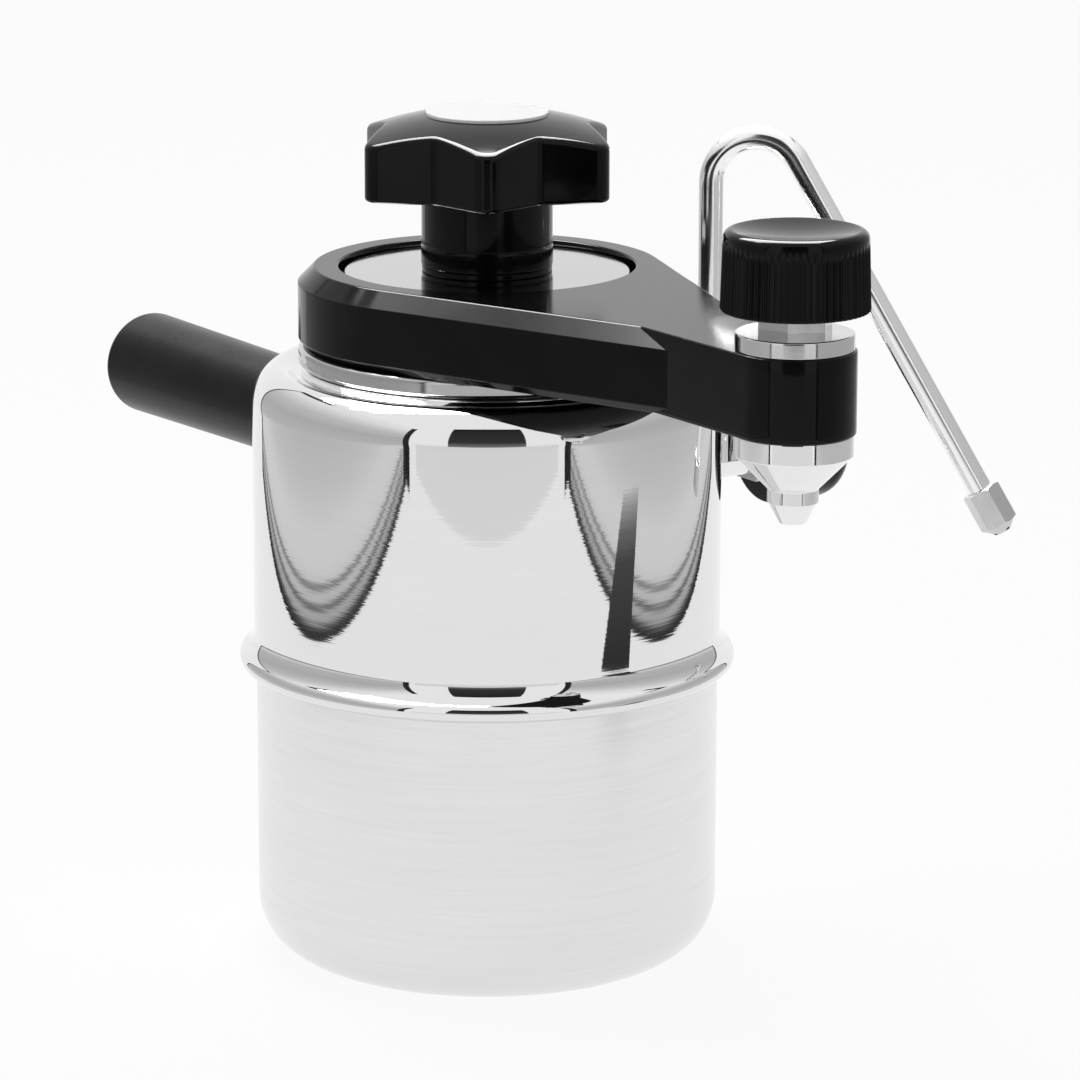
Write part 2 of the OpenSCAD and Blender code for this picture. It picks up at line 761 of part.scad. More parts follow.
module tap_body() {
    color(chrome) difference() {
        at_tap() {
            ring(0, tap_r, tap_bottom, tap_flange_top);
            ring(0, tap_flange_r, arm_top, tap_flange_top);
        }
        at_tap() {
            translate([0, 0, tap_bottom - 1]) cylinder(r = seat_hole_r, h = seat_t + 2);
            translate([0, 0, seat_top]) cylinder(r = chamber_r, h = far);
            translate([0, 0, packing_bottom]) cylinder(r = gland_r, h = far);
        }
        translate([arm_reach - 2 * tap_r, 0, duct_z]) along_x() cylinder(r = duct_r - duct_t, h = 2 * tap_r);
    }
}

module tap_packing() {
    color("ivory") at_tap() ring(spindle_r + run_gap, gland_r, packing_bottom, packing_top);
}

module tap_gland_nut() {
    color(chrome) at_tap() difference() {
        union() {
            rotate([0, 0, 12]) nut(tap_nut_af, tap_flange_top, tap_nut_top);
            ring(0, gland_r, packing_top, tap_nut_top);
        }
        cylinder(r = spindle_r + run_gap, h = far);
    }
}

module tap_plug() {
    color("dimgray") at_tap() difference() {
        ring(0, chamber_r - pass_gap, plug_bottom, plug_top);
        translate([0, 0, spindle_foot - seat_gap]) cylinder(r = spindle_r + run_gap, h = plug_h);
    }
}

module tap_spindle() {
    color(steel) at_tap() ring(0, spindle_r, spindle_foot, tap_knob_bottom + spindle_hold);
}

module ribbed_outline(r) {
    polygon([for (i = [0 : 2 * rib_count - 1])
        let(turn = i * 180 / rib_count, reach = r - (i % 2) * rib_depth)
        reach * [cos(turn), sin(turn)]]);
}

// The knob's outline turned round its axis: a slight taper, a rounded top edge and a dished top
module tap_knob_section() {
    top_r = tap_knob_r - tap_knob_taper;
    dish_half = top_r - tap_knob_fillet;
    dish_r = (dish_half * dish_half + tap_dish * tap_dish) / (2 * tap_dish);
    difference() {
        union() {
            polygon([
                [0, 0], [tap_knob_r, 0], [top_r, tap_knob_h - tap_knob_fillet], [dish_half, tap_knob_h], [0, tap_knob_h]
            ]);
            translate([dish_half, tap_knob_h - tap_knob_fillet]) circle(r = tap_knob_fillet);
        }
        translate([0, tap_knob_h - tap_dish + dish_r]) circle(r = dish_r);
    }
}

module tap_knob() {
    ribs_h = tap_knob_h - 1.5 * tap_knob_fillet;
    color(black) at_tap() translate([0, 0, tap_knob_bottom]) difference() {
        intersection() {
            rotate_extrude() right_half() tap_knob_section();
            union() {
                linear_extrude(ribs_h) ribbed_outline(tap_knob_r);
                translate([0, 0, ribs_h]) cylinder(r = tap_knob_r - tap_knob_taper, h = tap_knob_h);
            }
        }
        translate([0, 0, -1]) cylinder(r = spindle_r, h = spindle_hold + 1);
    }
}

module coffee_nozzle() {
    tip_top_r = nozzle_neck_r - nozzle_step;
    color(chrome) at_tap() difference() {
        rotate_extrude() polygon([
            [0, arm_bottom], [nozzle_r, arm_bottom], [nozzle_r, nozzle_ring_bottom], [nozzle_neck_r, nozzle_neck_top],
            [nozzle_neck_r, nozzle_neck_bottom], [tip_top_r, nozzle_neck_bottom], [nozzle_tip_r, nozzle_mouth],
            [0, nozzle_mouth]
        ]);
        translate([0, 0, tap_bottom]) cylinder(r = tap_r, h = far);
        translate([0, 0, nozzle_mouth - 1]) cylinder(r = nozzle_bore_r, h = far);
    }
}

// Star knob

module knob_washer() { color(black) ring(stud_r + pass_gap, washer_r, washer_bottom, washer_top); }

// One rounding of the star's outline, with both its ends on the flanks beside it.
function star_round(towards, centre_r, radius, from, to) =
    let (centre = centre_r * [cos(towards), sin(towards)])
    concat(arc(centre, radius, from, to), [centre + radius * [cos(to), sin(to)]]);

module star_outline() {
    polygon([
        for (i = [0 : lobe_count - 1])
            let (tip = lobe_turn + 2 * half_lobe * i, valley = tip + half_lobe, inner = valley + 180)
            each concat(
                star_round(tip, lobe_centre_r, lobe_r, tip - flank_turn, tip + flank_turn),
                star_round(valley, valley_centre_r, valley_r,
                    inner + flank_turn - half_lobe, inner - flank_turn + half_lobe)
            )
    ]);
}

// The envelope that domes the star's top and rounds the tops of its lobe tips
module star_envelope() {
    rotate_extrude() right_half() intersection() {
        translate([0, dome_top - dome_r]) circle(r = dome_r, $fn = 360);
        union() {
            translate([0, star_bottom]) square([star_r + 1, tip_z - lobe_fillet - star_bottom]);
            translate([0, star_bottom]) square([star_r - lobe_fillet, far]);
            translate([star_r - lobe_fillet, tip_z - lobe_fillet]) circle(r = lobe_fillet);
        }
    }
}

module star_knob() {
    color(black) difference() {
        union() {
            intersection() {
                translate([0, 0, star_bottom]) linear_extrude(far) star_outline();
                star_envelope();
            }
            rotate_extrude() right_half() {
                translate([0, stem_bottom]) square([stem_r - stem_fillet, stem_h]);
                translate([0, stem_bottom + stem_fillet]) square([stem_r, stem_h - stem_fillet]);
                translate([stem_r - stem_fillet, stem_bottom + stem_fillet]) circle(r = stem_fillet);
            }
        }
        translate([0, 0, stem_bottom - 1]) cylinder(r = insert_r, h = insert_top - stem_bottom + 1);
        ring(0, disc_r, disc_seat, far);
    }
}

module knob_insert() { color("goldenrod") ring(stud_r + run_gap, insert_r, stem_bottom, insert_top); }

module knob_disc() { color("whitesmoke") ring(0, disc_r, disc_seat, disc_seat + disc_t); }

// Steam valve

module steam_valve_body() {
    color(chrome) difference() {
        union() {
            along_steam_axis() ring(0, steam_r, body_r - steam_spigot, steam_end);
            difference() {
                along_steam_axis() ring(0, steam_boss_r, body_r - steam_spigot, body_r + steam_boss_l);
                boiler_inside();
            }
            at_wand() ring(0, socket_r, steam_z, socket_top);
        }
        along_steam_axis() {
            cylinder(r = steam_inlet_r, h = far);
            translate([0, 0, steam_seat_y]) cylinder(r = steam_chamber_r, h = far);
        }
        at_wand() {
            translate([0, 0, steam_z]) cylinder(r = wand_r - wand_t, h = far);
            translate([0, 0, wand_port]) cylinder(r = sleeve_r + run_gap, h = far);
            translate([0, 0, wand_seal_bottom]) cylinder(r = counterbore_r, h = far);
        }
    }
}

module steam_packing() {
    color("ivory") along_steam_axis()
        ring(steam_spindle_r + run_gap, steam_chamber_r, steam_packing_y, steam_packing_y + packing_l);
}

module steam_gland_nut() {
    color(chrome) along_steam_axis() difference() {
        union() {
            nut(steam_nut_af, steam_end, steam_nut_end);
            ring(0, steam_chamber_r, steam_packing_y + packing_l, steam_nut_end);
        }
        cylinder(r = steam_spindle_r + run_gap, h = far);
    }
}

module steam_plug() {
    color("dimgray") along_steam_axis() difference() {
        ring(0, steam_chamber_r - pass_gap, steam_plug_y, steam_plug_end);
        translate([0, 0, steam_foot_y - seat_gap]) cylinder(r = steam_spindle_r + run_gap, h = steam_plug_l);
    }
}

module steam_spindle() {
    color(steel) along_steam_axis() ring(0, steam_spindle_r, steam_foot_y, steam_knob_y + steam_hold);
}

module steam_knob() {
    edge = steam_knob_r - steam_knob_fillet;
    color(black) along_steam_axis() translate([0, 0, steam_knob_y]) difference() {
        rotate_extrude() right_half() {
            square([steam_knob_r, steam_knob_l - steam_knob_fillet]);
            square([edge, steam_knob_l]);
            translate([edge, steam_knob_l - steam_knob_fillet]) circle(r = steam_knob_fillet);
        }
        translate([0, 0, -1]) cylinder(r = steam_spindle_r, h = steam_hold + 1);
    }
}

// Steam wand

// Rings along the wand: up the foot, round the bend and down the free leg. Each has its place and its lean.
wand_sides = 20;
bend_steps = 15;
function bend_ring(turn) = [wand_bend * (1 - cos(turn)), bend_z + wand_bend * sin(turn), turn];
function wand_rings(leg) = concat(
    [[0, wand_foot, 0]],
    [for (i = [0 : bend_steps]) bend_ring(bend_sweep * i / bend_steps)],
    [bend_ring(bend_sweep) + [leg * sin(bend_sweep), leg * cos(bend_sweep), 0]]
);
function round_ring(r, place) = [for (k = [0 : wand_sides - 1])
    let(side = k * 360 / wand_sides)
    [place[0] + r * cos(side) * cos(place[2]), r * sin(side), place[1] - r * cos(side) * sin(place[2])]];
// Two triangles for each side between one ring of points and the next
function between(first, next, sides) = [for (k = [0 : sides - 1])
    let(l = (k + 1) % sides)
    each [[first + k, next + k, next + l], [first + k, next + l, first + l]]];
function turned(faces) = [for (face = faces) [face[0], face[2], face[1]]];

module bent_tube(inner, outer, rings) {
    count = len(rings);
    bore = count * wand_sides;
    last = bore - wand_sides;
    polyhedron(
        points = concat(
            [for (place = rings) each round_ring(outer, place)],
            [for (place = rings) each round_ring(inner, place)]
        ),
        faces = concat(
            [for (i = [0 : count - 2]) each between(i * wand_sides, (i + 1) * wand_sides, wand_sides)],
            turned([for (i = [0 : count - 2])
                each between(bore + i * wand_sides, bore + (i + 1) * wand_sides, wand_sides)]),
            between(bore, 0, wand_sides),
            between(last, bore + last, wand_sides)
        )
    );
}

// The start of the free leg, drawn along +Z, seen from the middle of the bend
module on_free_leg() {
    translate([wand_bend * cos(wand_lean), 0, wand_bend * sin(wand_lean)])
        rotate([0, 180 - wand_lean, 0]) children();
}

tip_start = wand_leg - tip_l - tip_cone;

module steam_wand() {
    color(chrome) at_wand() rotate([0, 0, wand_turn])
        bent_tube(wand_r - wand_t, wand_r, wand_rings(tip_start + tip_hold));
}

module wand_tip() {
    hex_end = tip_start + tip_l;
    cone_r = tip_af * 0.48;
    color(chrome) at_wand() rotate([0, 0, wand_turn]) translate([wand_bend, 0, bend_z]) on_free_leg()
        difference() {
            union() {
                nut(tip_af, tip_start, hex_end, true);
                rotate_extrude() polygon([
                    [0, tip_start + tip_hold], [wand_r, tip_start + tip_hold], [cone_r, hex_end],
                    [cone_r - tip_cone, hex_end + tip_cone], [0, hex_end + tip_cone]
                ]);
            }
            cylinder(r = wand_r, h = tip_start + tip_hold);
            cylinder(r = wand_r - wand_t, h = hex_end);
            for (turn = [45, 135, 225, 315])
                rotate([0, 0, turn]) translate([0, 0, hex_end - 1]) rotate([0, 40, 0])
                    cylinder(r = tip_hole_r, h = far);
        }
}

module wand_swivel() {
    color(steel) at_wand() {
        ring(wand_r, sleeve_r, wand_foot, collar_top);
        ring(wand_r, collar_r, collar_bottom, collar_top);
    }
}

module wand_seal() {
    color("dimgray") at_wand() ring(sleeve_r + run_gap, counterbore_r, wand_seal_bottom, wand_seal_top);
}

module wand_union_nut() {
    color(chrome) at_wand() difference() {
        nut(union_af, socket_top, socket_top + union_h);
        cylinder(r = wand_r + pass_gap, h = far);
    }
}

// Handle

module handle_boss() {
    color(chrome) difference() {
        along_handle_axis() ring(0, handle_boss_r, 0, grip_root);
        boiler_inside();
        along_handle_axis() translate([0, 0, rod_root]) cylinder(r = handle_rod_r, h = far);
    }
}

module handle_rod() { color(steel) along_handle_axis() ring(0, handle_rod_r, rod_root, rod_end); }

module handle_grip() {
    fillet_z = handle_reach - handle_fillet;
    color(black) along_handle_axis() difference() {
        rotate_extrude() right_half() {
            polygon([
                [0, grip_root], [handle_root_r, grip_root], [handle_end_r, fillet_z],
                [handle_end_r - handle_fillet, handle_reach], [0, handle_reach]
            ]);
            translate([handle_end_r - handle_fillet, fillet_z]) circle(r = handle_fillet);
        }
        cylinder(r = handle_rod_r, h = rod_end);
    }
}

// Safety valve

module safety_body() {
    color("goldenrod") difference() {
        along_safety_axis() {
            ring(0, safety_r, body_r - 2 * shell_t, safety_end);
            difference() {
                hexagon(safety_hex_af, body_r - 2 * shell_t, safety_hex_end);
                translate([0, 0, -1]) cylinder(r = safety_r, h = far);
            }
        }
        difference() {
            boiler_inside();
            along_safety_axis() cylinder(r = safety_r, h = far);
        }
        along_safety_axis() {
            cylinder(r = safety_inlet_r, h = far);
            translate([0, 0, relief_foot - seat_gap]) cylinder(r = safety_bore_r, h = far);
        }
    }
}

module safety_cap() {
    color("goldenrod") along_safety_axis() ring(relief_stem_r + run_gap, safety_bore_r, cap_inner, safety_end);
}

module relief_plug() {
    color(steel) along_safety_axis() {
        ring(0, relief_r, relief_foot, relief_top);
        ring(0, relief_stem_r, relief_foot, safety_end + cap_t);
    }
}

// The relief spring is one tube swept along a helix
spring_sides = 6;
curl_rings = 8;
spring_start = relief_top + spring_wire_r + 2 * seat_gap;
spring_rings = spring_curls * curl_rings;
function helix_point(i) = [
    spring_r * cos(i * 360 / curl_rings),
    spring_r * sin(i * 360 / curl_rings),
    spring_start + i * spring_l / spring_rings
];
function helix_ring(i) = [for (k = [0 : spring_sides - 1])
    let(turn = i * 360 / curl_rings, side = k * 360 / spring_sides)
    helix_point(i) + spring_wire_r * [cos(turn) * cos(side), sin(turn) * cos(side), sin(side)]];
function end_faces(first) = [for (k = [1 : spring_sides - 2]) [first, first + k, first + k + 1]];
spring_gap = min([for (i = [0 : spring_rings - curl_rings])
    norm(helix_point(i + curl_rings) - helix_point(i)) - 2 * spring_wire_r]);
echo(least_gap_between_spring_curls = spring_gap);

module relief_spring() {
    color("lightgray") along_safety_axis() polyhedron(
        points = [for (i = [0 : spring_rings]) each helix_ring(i)],
        faces = concat(
            [for (i = [0 : spring_rings - 1])
                each between(i * spring_sides, (i + 1) * spring_sides, spring_sides)],
            end_faces(0),
            turned(end_faces(spring_rings * spring_sides))
        )
    );
}

lower_shell();
upper_shell();
neck_ring();
bridge_bar();
clamp_stud();
coffee_basket();
basket_plate();
rim_seal();
top_screen();
lid_plate();
lid_seal();
arm();
arm_screws();
coffee_duct();
tap_body();
tap_gland_nut();
tap_packing();
coffee_nozzle();
tap_plug();
tap_spindle();
tap_knob();
knob_washer();
star_knob();
knob_insert();
knob_disc();
steam_valve_body();
steam_gland_nut();
steam_packing();
steam_plug();
steam_spindle();
steam_knob();
steam_wand();
wand_swivel();
wand_seal();
wand_union_nut();
wand_tip();
handle_boss();
handle_rod();
handle_grip();
safety_body();
safety_cap();
relief_plug();
relief_spring();
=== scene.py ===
# %% [markdown]
# # Dressing a stovetop espresso maker
# The solids of this machine come from a packed CAD model, one mesh per piece. They already have the right places and
# main shapes, so this script never moves them. It adds what solids lack: finely turned skins with rounded edges,
# finishes, a small studio and a camera. Everything is in metres, in the CAD model's own frame: the origin is the
# middle of the foot, +Z is up, +X is the arm, -X is the handle and +Y is the steam valve.

# %% Load the packed model
import cmath
import json
import math

import bmesh
import bpy
import numpy as np
from mathutils import Matrix, Vector
from mathutils.geometry import tessellate_polygon


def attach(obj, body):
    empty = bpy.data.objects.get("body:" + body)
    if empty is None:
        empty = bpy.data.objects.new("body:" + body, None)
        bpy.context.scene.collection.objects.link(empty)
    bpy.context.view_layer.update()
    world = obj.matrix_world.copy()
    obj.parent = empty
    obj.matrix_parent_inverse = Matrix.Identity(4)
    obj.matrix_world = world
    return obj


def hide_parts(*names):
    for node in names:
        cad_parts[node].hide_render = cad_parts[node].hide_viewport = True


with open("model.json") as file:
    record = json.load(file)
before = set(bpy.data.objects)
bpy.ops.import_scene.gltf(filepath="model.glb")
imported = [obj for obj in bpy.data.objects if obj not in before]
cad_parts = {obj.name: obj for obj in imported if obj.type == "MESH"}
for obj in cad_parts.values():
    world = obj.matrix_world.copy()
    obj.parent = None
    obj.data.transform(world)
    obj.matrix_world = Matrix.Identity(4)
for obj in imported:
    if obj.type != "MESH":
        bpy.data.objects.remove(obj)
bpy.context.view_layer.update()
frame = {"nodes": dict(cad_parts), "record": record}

record = frame["record"]
body_with = {node: body for body, nodes in record["behaviour"]["bodies"].items() for node in nodes}
slot_with = {part["node"]: part["material_slot"] for part in record["subparts"]}

# %% [markdown]
# ## The camera
# A photograph of a small object is taken from well away with a long lens, so that upright walls stay nearly parallel.
# Here that is a 180 mm lens on a 36 mm sensor, a little over 1.3 m from the boiler, looking down at 13.6 degrees.
# The object stands left of the middle, which a small lens shift gives without turning the camera. Three directions as
# the camera sees them are named here too, because the studio is set out along them.

# %% Set up the camera
TOWARDS = Vector((0.829, -0.559, 0.0))
RIGHTWARDS = Vector((0.559, 0.829, 0.0))
UPWARDS = Vector((0.0, 0.0, 1.0))
EYE = Vector((1.0806, -0.7286, 0.4195))
AIM = Vector((0.0, 0.0, 0.1042))
FOCAL_LENGTH, SENSOR_WIDTH, LENS_SHIFT = 180.0, 36.0, 0.049
NEAREST, FURTHEST = 0.05, 60.0
scene = bpy.context.scene


def stand(thing, spot, target):
    """Puts a camera or lamp at a spot, looking at a target."""
    thing.location = spot
    thing.rotation_mode = "QUATERNION"
    thing.rotation_quaternion = (target - spot).to_track_quat("-Z", "Y")
    scene.collection.objects.link(thing)


lens = bpy.data.cameras.new("studio_lens")
lens.lens, lens.sensor_width, lens.shift_x = FOCAL_LENGTH, SENSOR_WIDTH, LENS_SHIFT
lens.clip_start, lens.clip_end = NEAREST, FURTHEST
camera = bpy.data.objects.new("studio_camera", lens)
stand(camera, EYE, AIM)
scene.camera = camera
print("the camera stands", round((EYE - AIM).length, 3), "m away")

# %% [markdown]
# ## Writing shader maths as Python
# A finish is a tree of nodes. Adding each Math node by hand hides the idea behind the wiring, so one small class wraps
# an output socket. Sums and products on values add Math nodes, on vectors they add Vector Math nodes, and a value can
# blend two colours through a Mix node. Any other node comes from the one method `node`.

# %% A socket that can be used in expressions
class Wire:
    """An output socket of a finish's node tree."""

    def __init__(self, tree, socket):
        self.tree = tree
        self.socket = socket

    def node(self, kind, settings=None, sockets=None, out=0):
        made = self.tree.nodes.new(kind)
        for name, value in (settings or {}).items():
            if name == "stops":
                ramp = made.color_ramp.elements
                while len(ramp) < len(value):
                    ramp.new(1.0)
                for stop, (place, level) in zip(ramp, value):
                    stop.position = place
                    stop.color = (level, level, level, 1.0)
            else:
                setattr(made, name, value)
        for name, value in (sockets or {}).items():
            if isinstance(value, Wire):
                self.tree.links.new(value.socket, made.inputs[name])
            else:
                made.inputs[name].default_value = value
        return Wire(self.tree, made.outputs[out]) if made.outputs else made

    def joined(self, operation, first, second):
        if self.socket.type == "VALUE":
            return self.node("ShaderNodeMath", {"operation": operation}, {0: first, 1: second})
        pair = [(v, v, v) if isinstance(v, (int, float)) else v for v in (first, second)]
        return self.node("ShaderNodeVectorMath", {"operation": operation}, {0: pair[0], 1: pair[1]})

    def __add__(self, other):
        return self.joined("ADD", self, other)

    def __radd__(self, other):
        return self.joined("ADD", other, self)

    def __rsub__(self, other):
        return self.joined("SUBTRACT", other, self)

    def __mul__(self, other):
        return self.joined("MULTIPLY", self, other)

    def __rmul__(self, other):
        return self.joined("MULTIPLY", other, self)

    def __gt__(self, other):
        return self.joined("GREATER_THAN", self, other)

    def __abs__(self):
        return self.node("ShaderNodeMath", {"operation": "ABSOLUTE"}, {0: self})

    def or_more(self, other):
        return self.joined("MAXIMUM", self, other)

    def axis(self, letter):
        return self.node("ShaderNodeSeparateXYZ", None, {0: self}, "XYZ".index(letter))

    def ramp(self, stops):
        """A value looked up along stops of (place, level)."""
        shade = self.node("ShaderNodeValToRGB", {"stops": stops}, {0: self})
        return shade.node("ShaderNodeRGBToBW", None, {0: shade})

    def blend(self, low, high):
        """A colour that goes from low to high as this value goes from 0 to 1."""
        colours = {0: self, 6: (*low, 1.0), 7: (*high, 1.0)}
        return self.node("ShaderNodeMix", {"data_type": "RGBA"}, colours, 2)

    def noise(self, scale, detail=3.0, roughness=0.5):
        sockets = {"Vector": self, "Scale": scale, "Detail": detail, "Roughness": roughness}
        return self.node("ShaderNodeTexNoise", {"noise_dimensions": "3D"}, sockets)


def grey(level):
    return (level, level, level)


print("operators:", ", ".join(sorted(n for n in vars(Wire) if n.startswith("__") and n != "__init__")))

# %% [markdown]
# ## The studio
# The machine is mostly mirror, so the picture is made by what stands round it. Soft white surroundings come from the
# world: it is plain white to the camera and to reflections, and a little lower as a lamp. The floor is a wide pale
# sheet. To the camera it is nearly pure white, and a share of its own shading is kept so that the shadow stays.

# %% The white world
WHITE = (1.0, 1.0, 1.0, 1.0)
AMBIENT = 0.66
scene.view_settings.view_transform = "Standard"


def seen_directly(tree):
    """1 for camera, mirror and see-through rays, and 0 for the soft light that falls on things."""
    path = tree.nodes.new("ShaderNodeLightPath")
    rays = [Wire(tree, path.outputs[name]) for name in ("Is Camera Ray", "Is Glossy Ray", "Is Transmission Ray")]
    return rays[0].or_more(rays[1]).or_more(rays[2])


world = bpy.data.worlds.new("white_studio")
world.use_nodes = True
scene.world = world
world.node_tree.nodes.clear()
seen = seen_directly(world.node_tree)
lit = seen.node("ShaderNodeBackground", None, {"Color": WHITE, "Strength": AMBIENT})
shown = seen.node("ShaderNodeBackground", None, {"Color": WHITE, "Strength": 1.0})
either = seen.node("ShaderNodeMixShader", None, {0: seen, 1: lit, 2: shown})
either.node("ShaderNodeOutputWorld", None, {"Surface": either})
print("world nodes:", len(world.node_tree.nodes))

# %% The floor
FLOOR_HALF, FLOOR_DROP = 7.0, 0.0002
FLOOR_PAINT, FLOOR_GLOW = 0.86, 0.9


def stage_object(name, corners):
    """A flat sheet with an empty material, which belongs to the studio."""
    mesh = bpy.data.meshes.new(name)
    mesh.from_pydata([tuple(c) for c in corners], [], [tuple(range(len(corners)))])
    made = bpy.data.objects.new(name, mesh)
    scene.collection.objects.link(made)
    material = bpy.data.materials.new(name)
    material.use_nodes = True
    material.node_tree.nodes.clear()
    mesh.materials.append(material)
    return made, material.node_tree


corners = [(x * FLOOR_HALF, y * FLOOR_HALF, -FLOOR_DROP) for x, y in ((-1, -1), (1, -1), (1, 1), (-1, 1))]
floor, floor_tree = stage_object("floor", corners)
seen = seen_directly(floor_tree)
paint = seen.node("ShaderNodeBsdfDiffuse", None, {"Color": (*grey(FLOOR_PAINT), 1.0)})
glow = seen.node("ShaderNodeEmission", None, {"Color": WHITE, "Strength": 1.0})
either = seen.node("ShaderNodeMixShader", None, {0: seen * FLOOR_GLOW, 1: paint, 2: glow})
either.node("ShaderNodeOutputMaterial", None, {"Surface": either})
print(floor.name, "nodes:", len(floor_tree.nodes))

# %% [markdown]
# ## Lamp and boards
# Polished steel needs something grey and dark to mirror, or it looks like paper. Real studios stand boards round the
# object for that. One wide soft lamp hangs overhead, a little behind and to the left. It lights the machine but is
# hidden from reflections, because a bright board in its place is what the metal and the mouldings mirror.

# %% The soft lamp
LAMP_SIDE, LAMP_RADIANCE = 0.7, 2.6
LAMP_AIM = Vector((0.0, 0.0, 0.1))


def spot(towards, rightwards, upwards):
    """A place in the studio, as the camera sees it."""
    return TOWARDS * towards + RIGHTWARDS * rightwards + UPWARDS * upwards


lamp_data = bpy.data.lights.new("soft_lamp", "AREA")
lamp_data.shape, lamp_data.size = "SQUARE", LAMP_SIDE
lamp_data.energy = LAMP_RADIANCE * math.pi * LAMP_SIDE ** 2
lamp = bpy.data.objects.new("soft_lamp", lamp_data)
stand(lamp, spot(-0.3, -0.3, 1.1), LAMP_AIM)
lamp.visible_camera = lamp.visible_glossy = False
print("the lamp gives", round(lamp_data.energy, 2), "W")

# %% [markdown]
# A board is a flat sheet that glows by itself. Its tone follows its height. A frame can darken its sides and the far
# part of its upper edge, and the upper edge can stand aside of the lower one. Boards are hidden from the camera and
# from soft light, so they only show in reflections.

# %% A board that only reflections see
FRAME_TONE = 0.03


def board(name, foot, along, size, stops, frame_width=0.0, upwards=UPWARDS, strength=1.0, top=None):
    """A board that stands with the middle of its lower edge at foot. Its tone follows stops of (height, level)."""
    half, height = size[0] / 2, size[1]
    left, right = top or (-half, half)
    made, tree = stage_object(name, [(-half, 0, 0), (half, 0, 0), (right, height, 0), (left, height, 0)])
    turn = Matrix((along, upwards, along.cross(upwards))).transposed()
    made.matrix_world = Matrix.Translation(foot) @ turn.to_4x4()
    made.visible_camera = made.visible_diffuse = made.visible_shadow = False
    place = Wire(tree, tree.nodes.new("ShaderNodeTexCoord").outputs["Object"])
    across, up = place.axis("X"), place.axis("Y")
    far_top = (up > height - 2 * frame_width) * (0 - across > half / 3)
    edge = (abs(across) > max(half, abs(left), abs(right)) - frame_width).or_more(far_top)
    tone = (up * (1.0 / height)).ramp([(z / height, level) for z, level in stops])
    level = tone * (1 - edge) + edge * FRAME_TONE
    colour = level.blend(grey(0.0), grey(1.0))
    light = place.node("ShaderNodeEmission", None, {"Color": colour, "Strength": strength})
    light.node("ShaderNodeOutputMaterial", None, {"Surface": light})
    print(name, "is", size[0], "by", height, "m")


# %% [markdown]
# Two tall grey boards stand left and right. Each has a dark hem with thin lines above it, a dark frame, and a dark
# post at its near end. A low pale board stands in front. Further off, before the camera, stands a tall dark one that
# the camera looks through. A small one close to the foot leaves a dark leaning streak on the polished wall.

# %% Boards round the machine
SIDE_W, SIDE_H, SIDE_FRAME, POST_W = 0.92, 0.55, 0.02, 0.036
SIDE_TONES = [
    (0.0, 0.02), (0.004, 0.05), (0.006, 0.4), (0.0095, 0.5), (0.0102, 0.12), (0.0112, 0.12), (0.012, 0.56),
    (0.0155, 0.6), (0.0162, 0.2), (0.0172, 0.2), (0.018, 0.66), (0.024, 0.74), (0.034, 0.75), (0.048, 0.64),
    (0.07, 0.55), (0.2, 0.5), (0.32, 0.62), (0.46, 0.9), (SIDE_H, 0.95),
]
for side, name in ((-1, "left"), (1, "right")):
    board("board_" + name, spot(0.03, 0.38 * side, 0.0), TOWARDS, (SIDE_W, SIDE_H), SIDE_TONES, SIDE_FRAME)
    post_tones = [(0.0, 0.02), (SIDE_H, 0.03)]
    board("post_" + name, spot(0.492, 0.375 * side, 0.0), RIGHTWARDS, (POST_W, SIDE_H), post_tones)

FRONT_W, FRONT_H = 0.7, 0.09
board("board_front", spot(0.54, 0.0, 0.0), RIGHTWARDS, (FRONT_W, FRONT_H), [(0.0, 0.82), (FRONT_H, 0.78)])

FOOT_W, FOOT_H, FOOT_TOP = 0.095, 0.055, (-0.08, -0.025)
FOOT_TURN, FOOT_AWAY, FOOT_ASIDE = math.radians(64.0), 0.36, 0.022
FOOT_TONES = [(0.0, 0.03), (0.034, 0.07), (0.043, 0.16), (0.05, 0.34), (FOOT_H, 0.58)]
foot_out = spot(math.cos(FOOT_TURN), math.sin(FOOT_TURN), 0.0)
foot_along = foot_out.cross(UPWARDS)
foot_at = foot_out * FOOT_AWAY + foot_along * FOOT_ASIDE
board("board_foot", foot_at, foot_along, (FOOT_W, FOOT_H), FOOT_TONES, top=FOOT_TOP)

SLOT_W, SLOT_H = 0.52, 0.83
SLOT_TONES = [(0.0, 0.25), (0.2, 0.04), (SLOT_H, 0.02)]
board("camera_slot", spot(0.8, 0.0, 0.03), RIGHTWARDS, (SLOT_W, SLOT_H), SLOT_TONES)

# %% [markdown]
# The black mouldings mirror what hangs above them. The lamp's face draws the bright lines on rounded edges, and two
# small bright boards further left lift the arm's bevel: one along its straight side, one round its ring.

# %% Bright boards above
FACE_W, FACE_ASIDE, FACE_LIGHT = 1.1, 0.14, 36.0
face_middle = lamp.location + RIGHTWARDS * FACE_ASIDE
face_up = face_middle.normalized().cross(RIGHTWARDS).normalized()
face_at = face_middle - face_up * LAMP_SIDE / 2
face_tones = [(0.0, 1.0), (LAMP_SIDE, 1.0)]
board("lamp_face", face_at, RIGHTWARDS, (FACE_W, LAMP_SIDE), face_tones, upwards=face_up, strength=FACE_LIGHT)

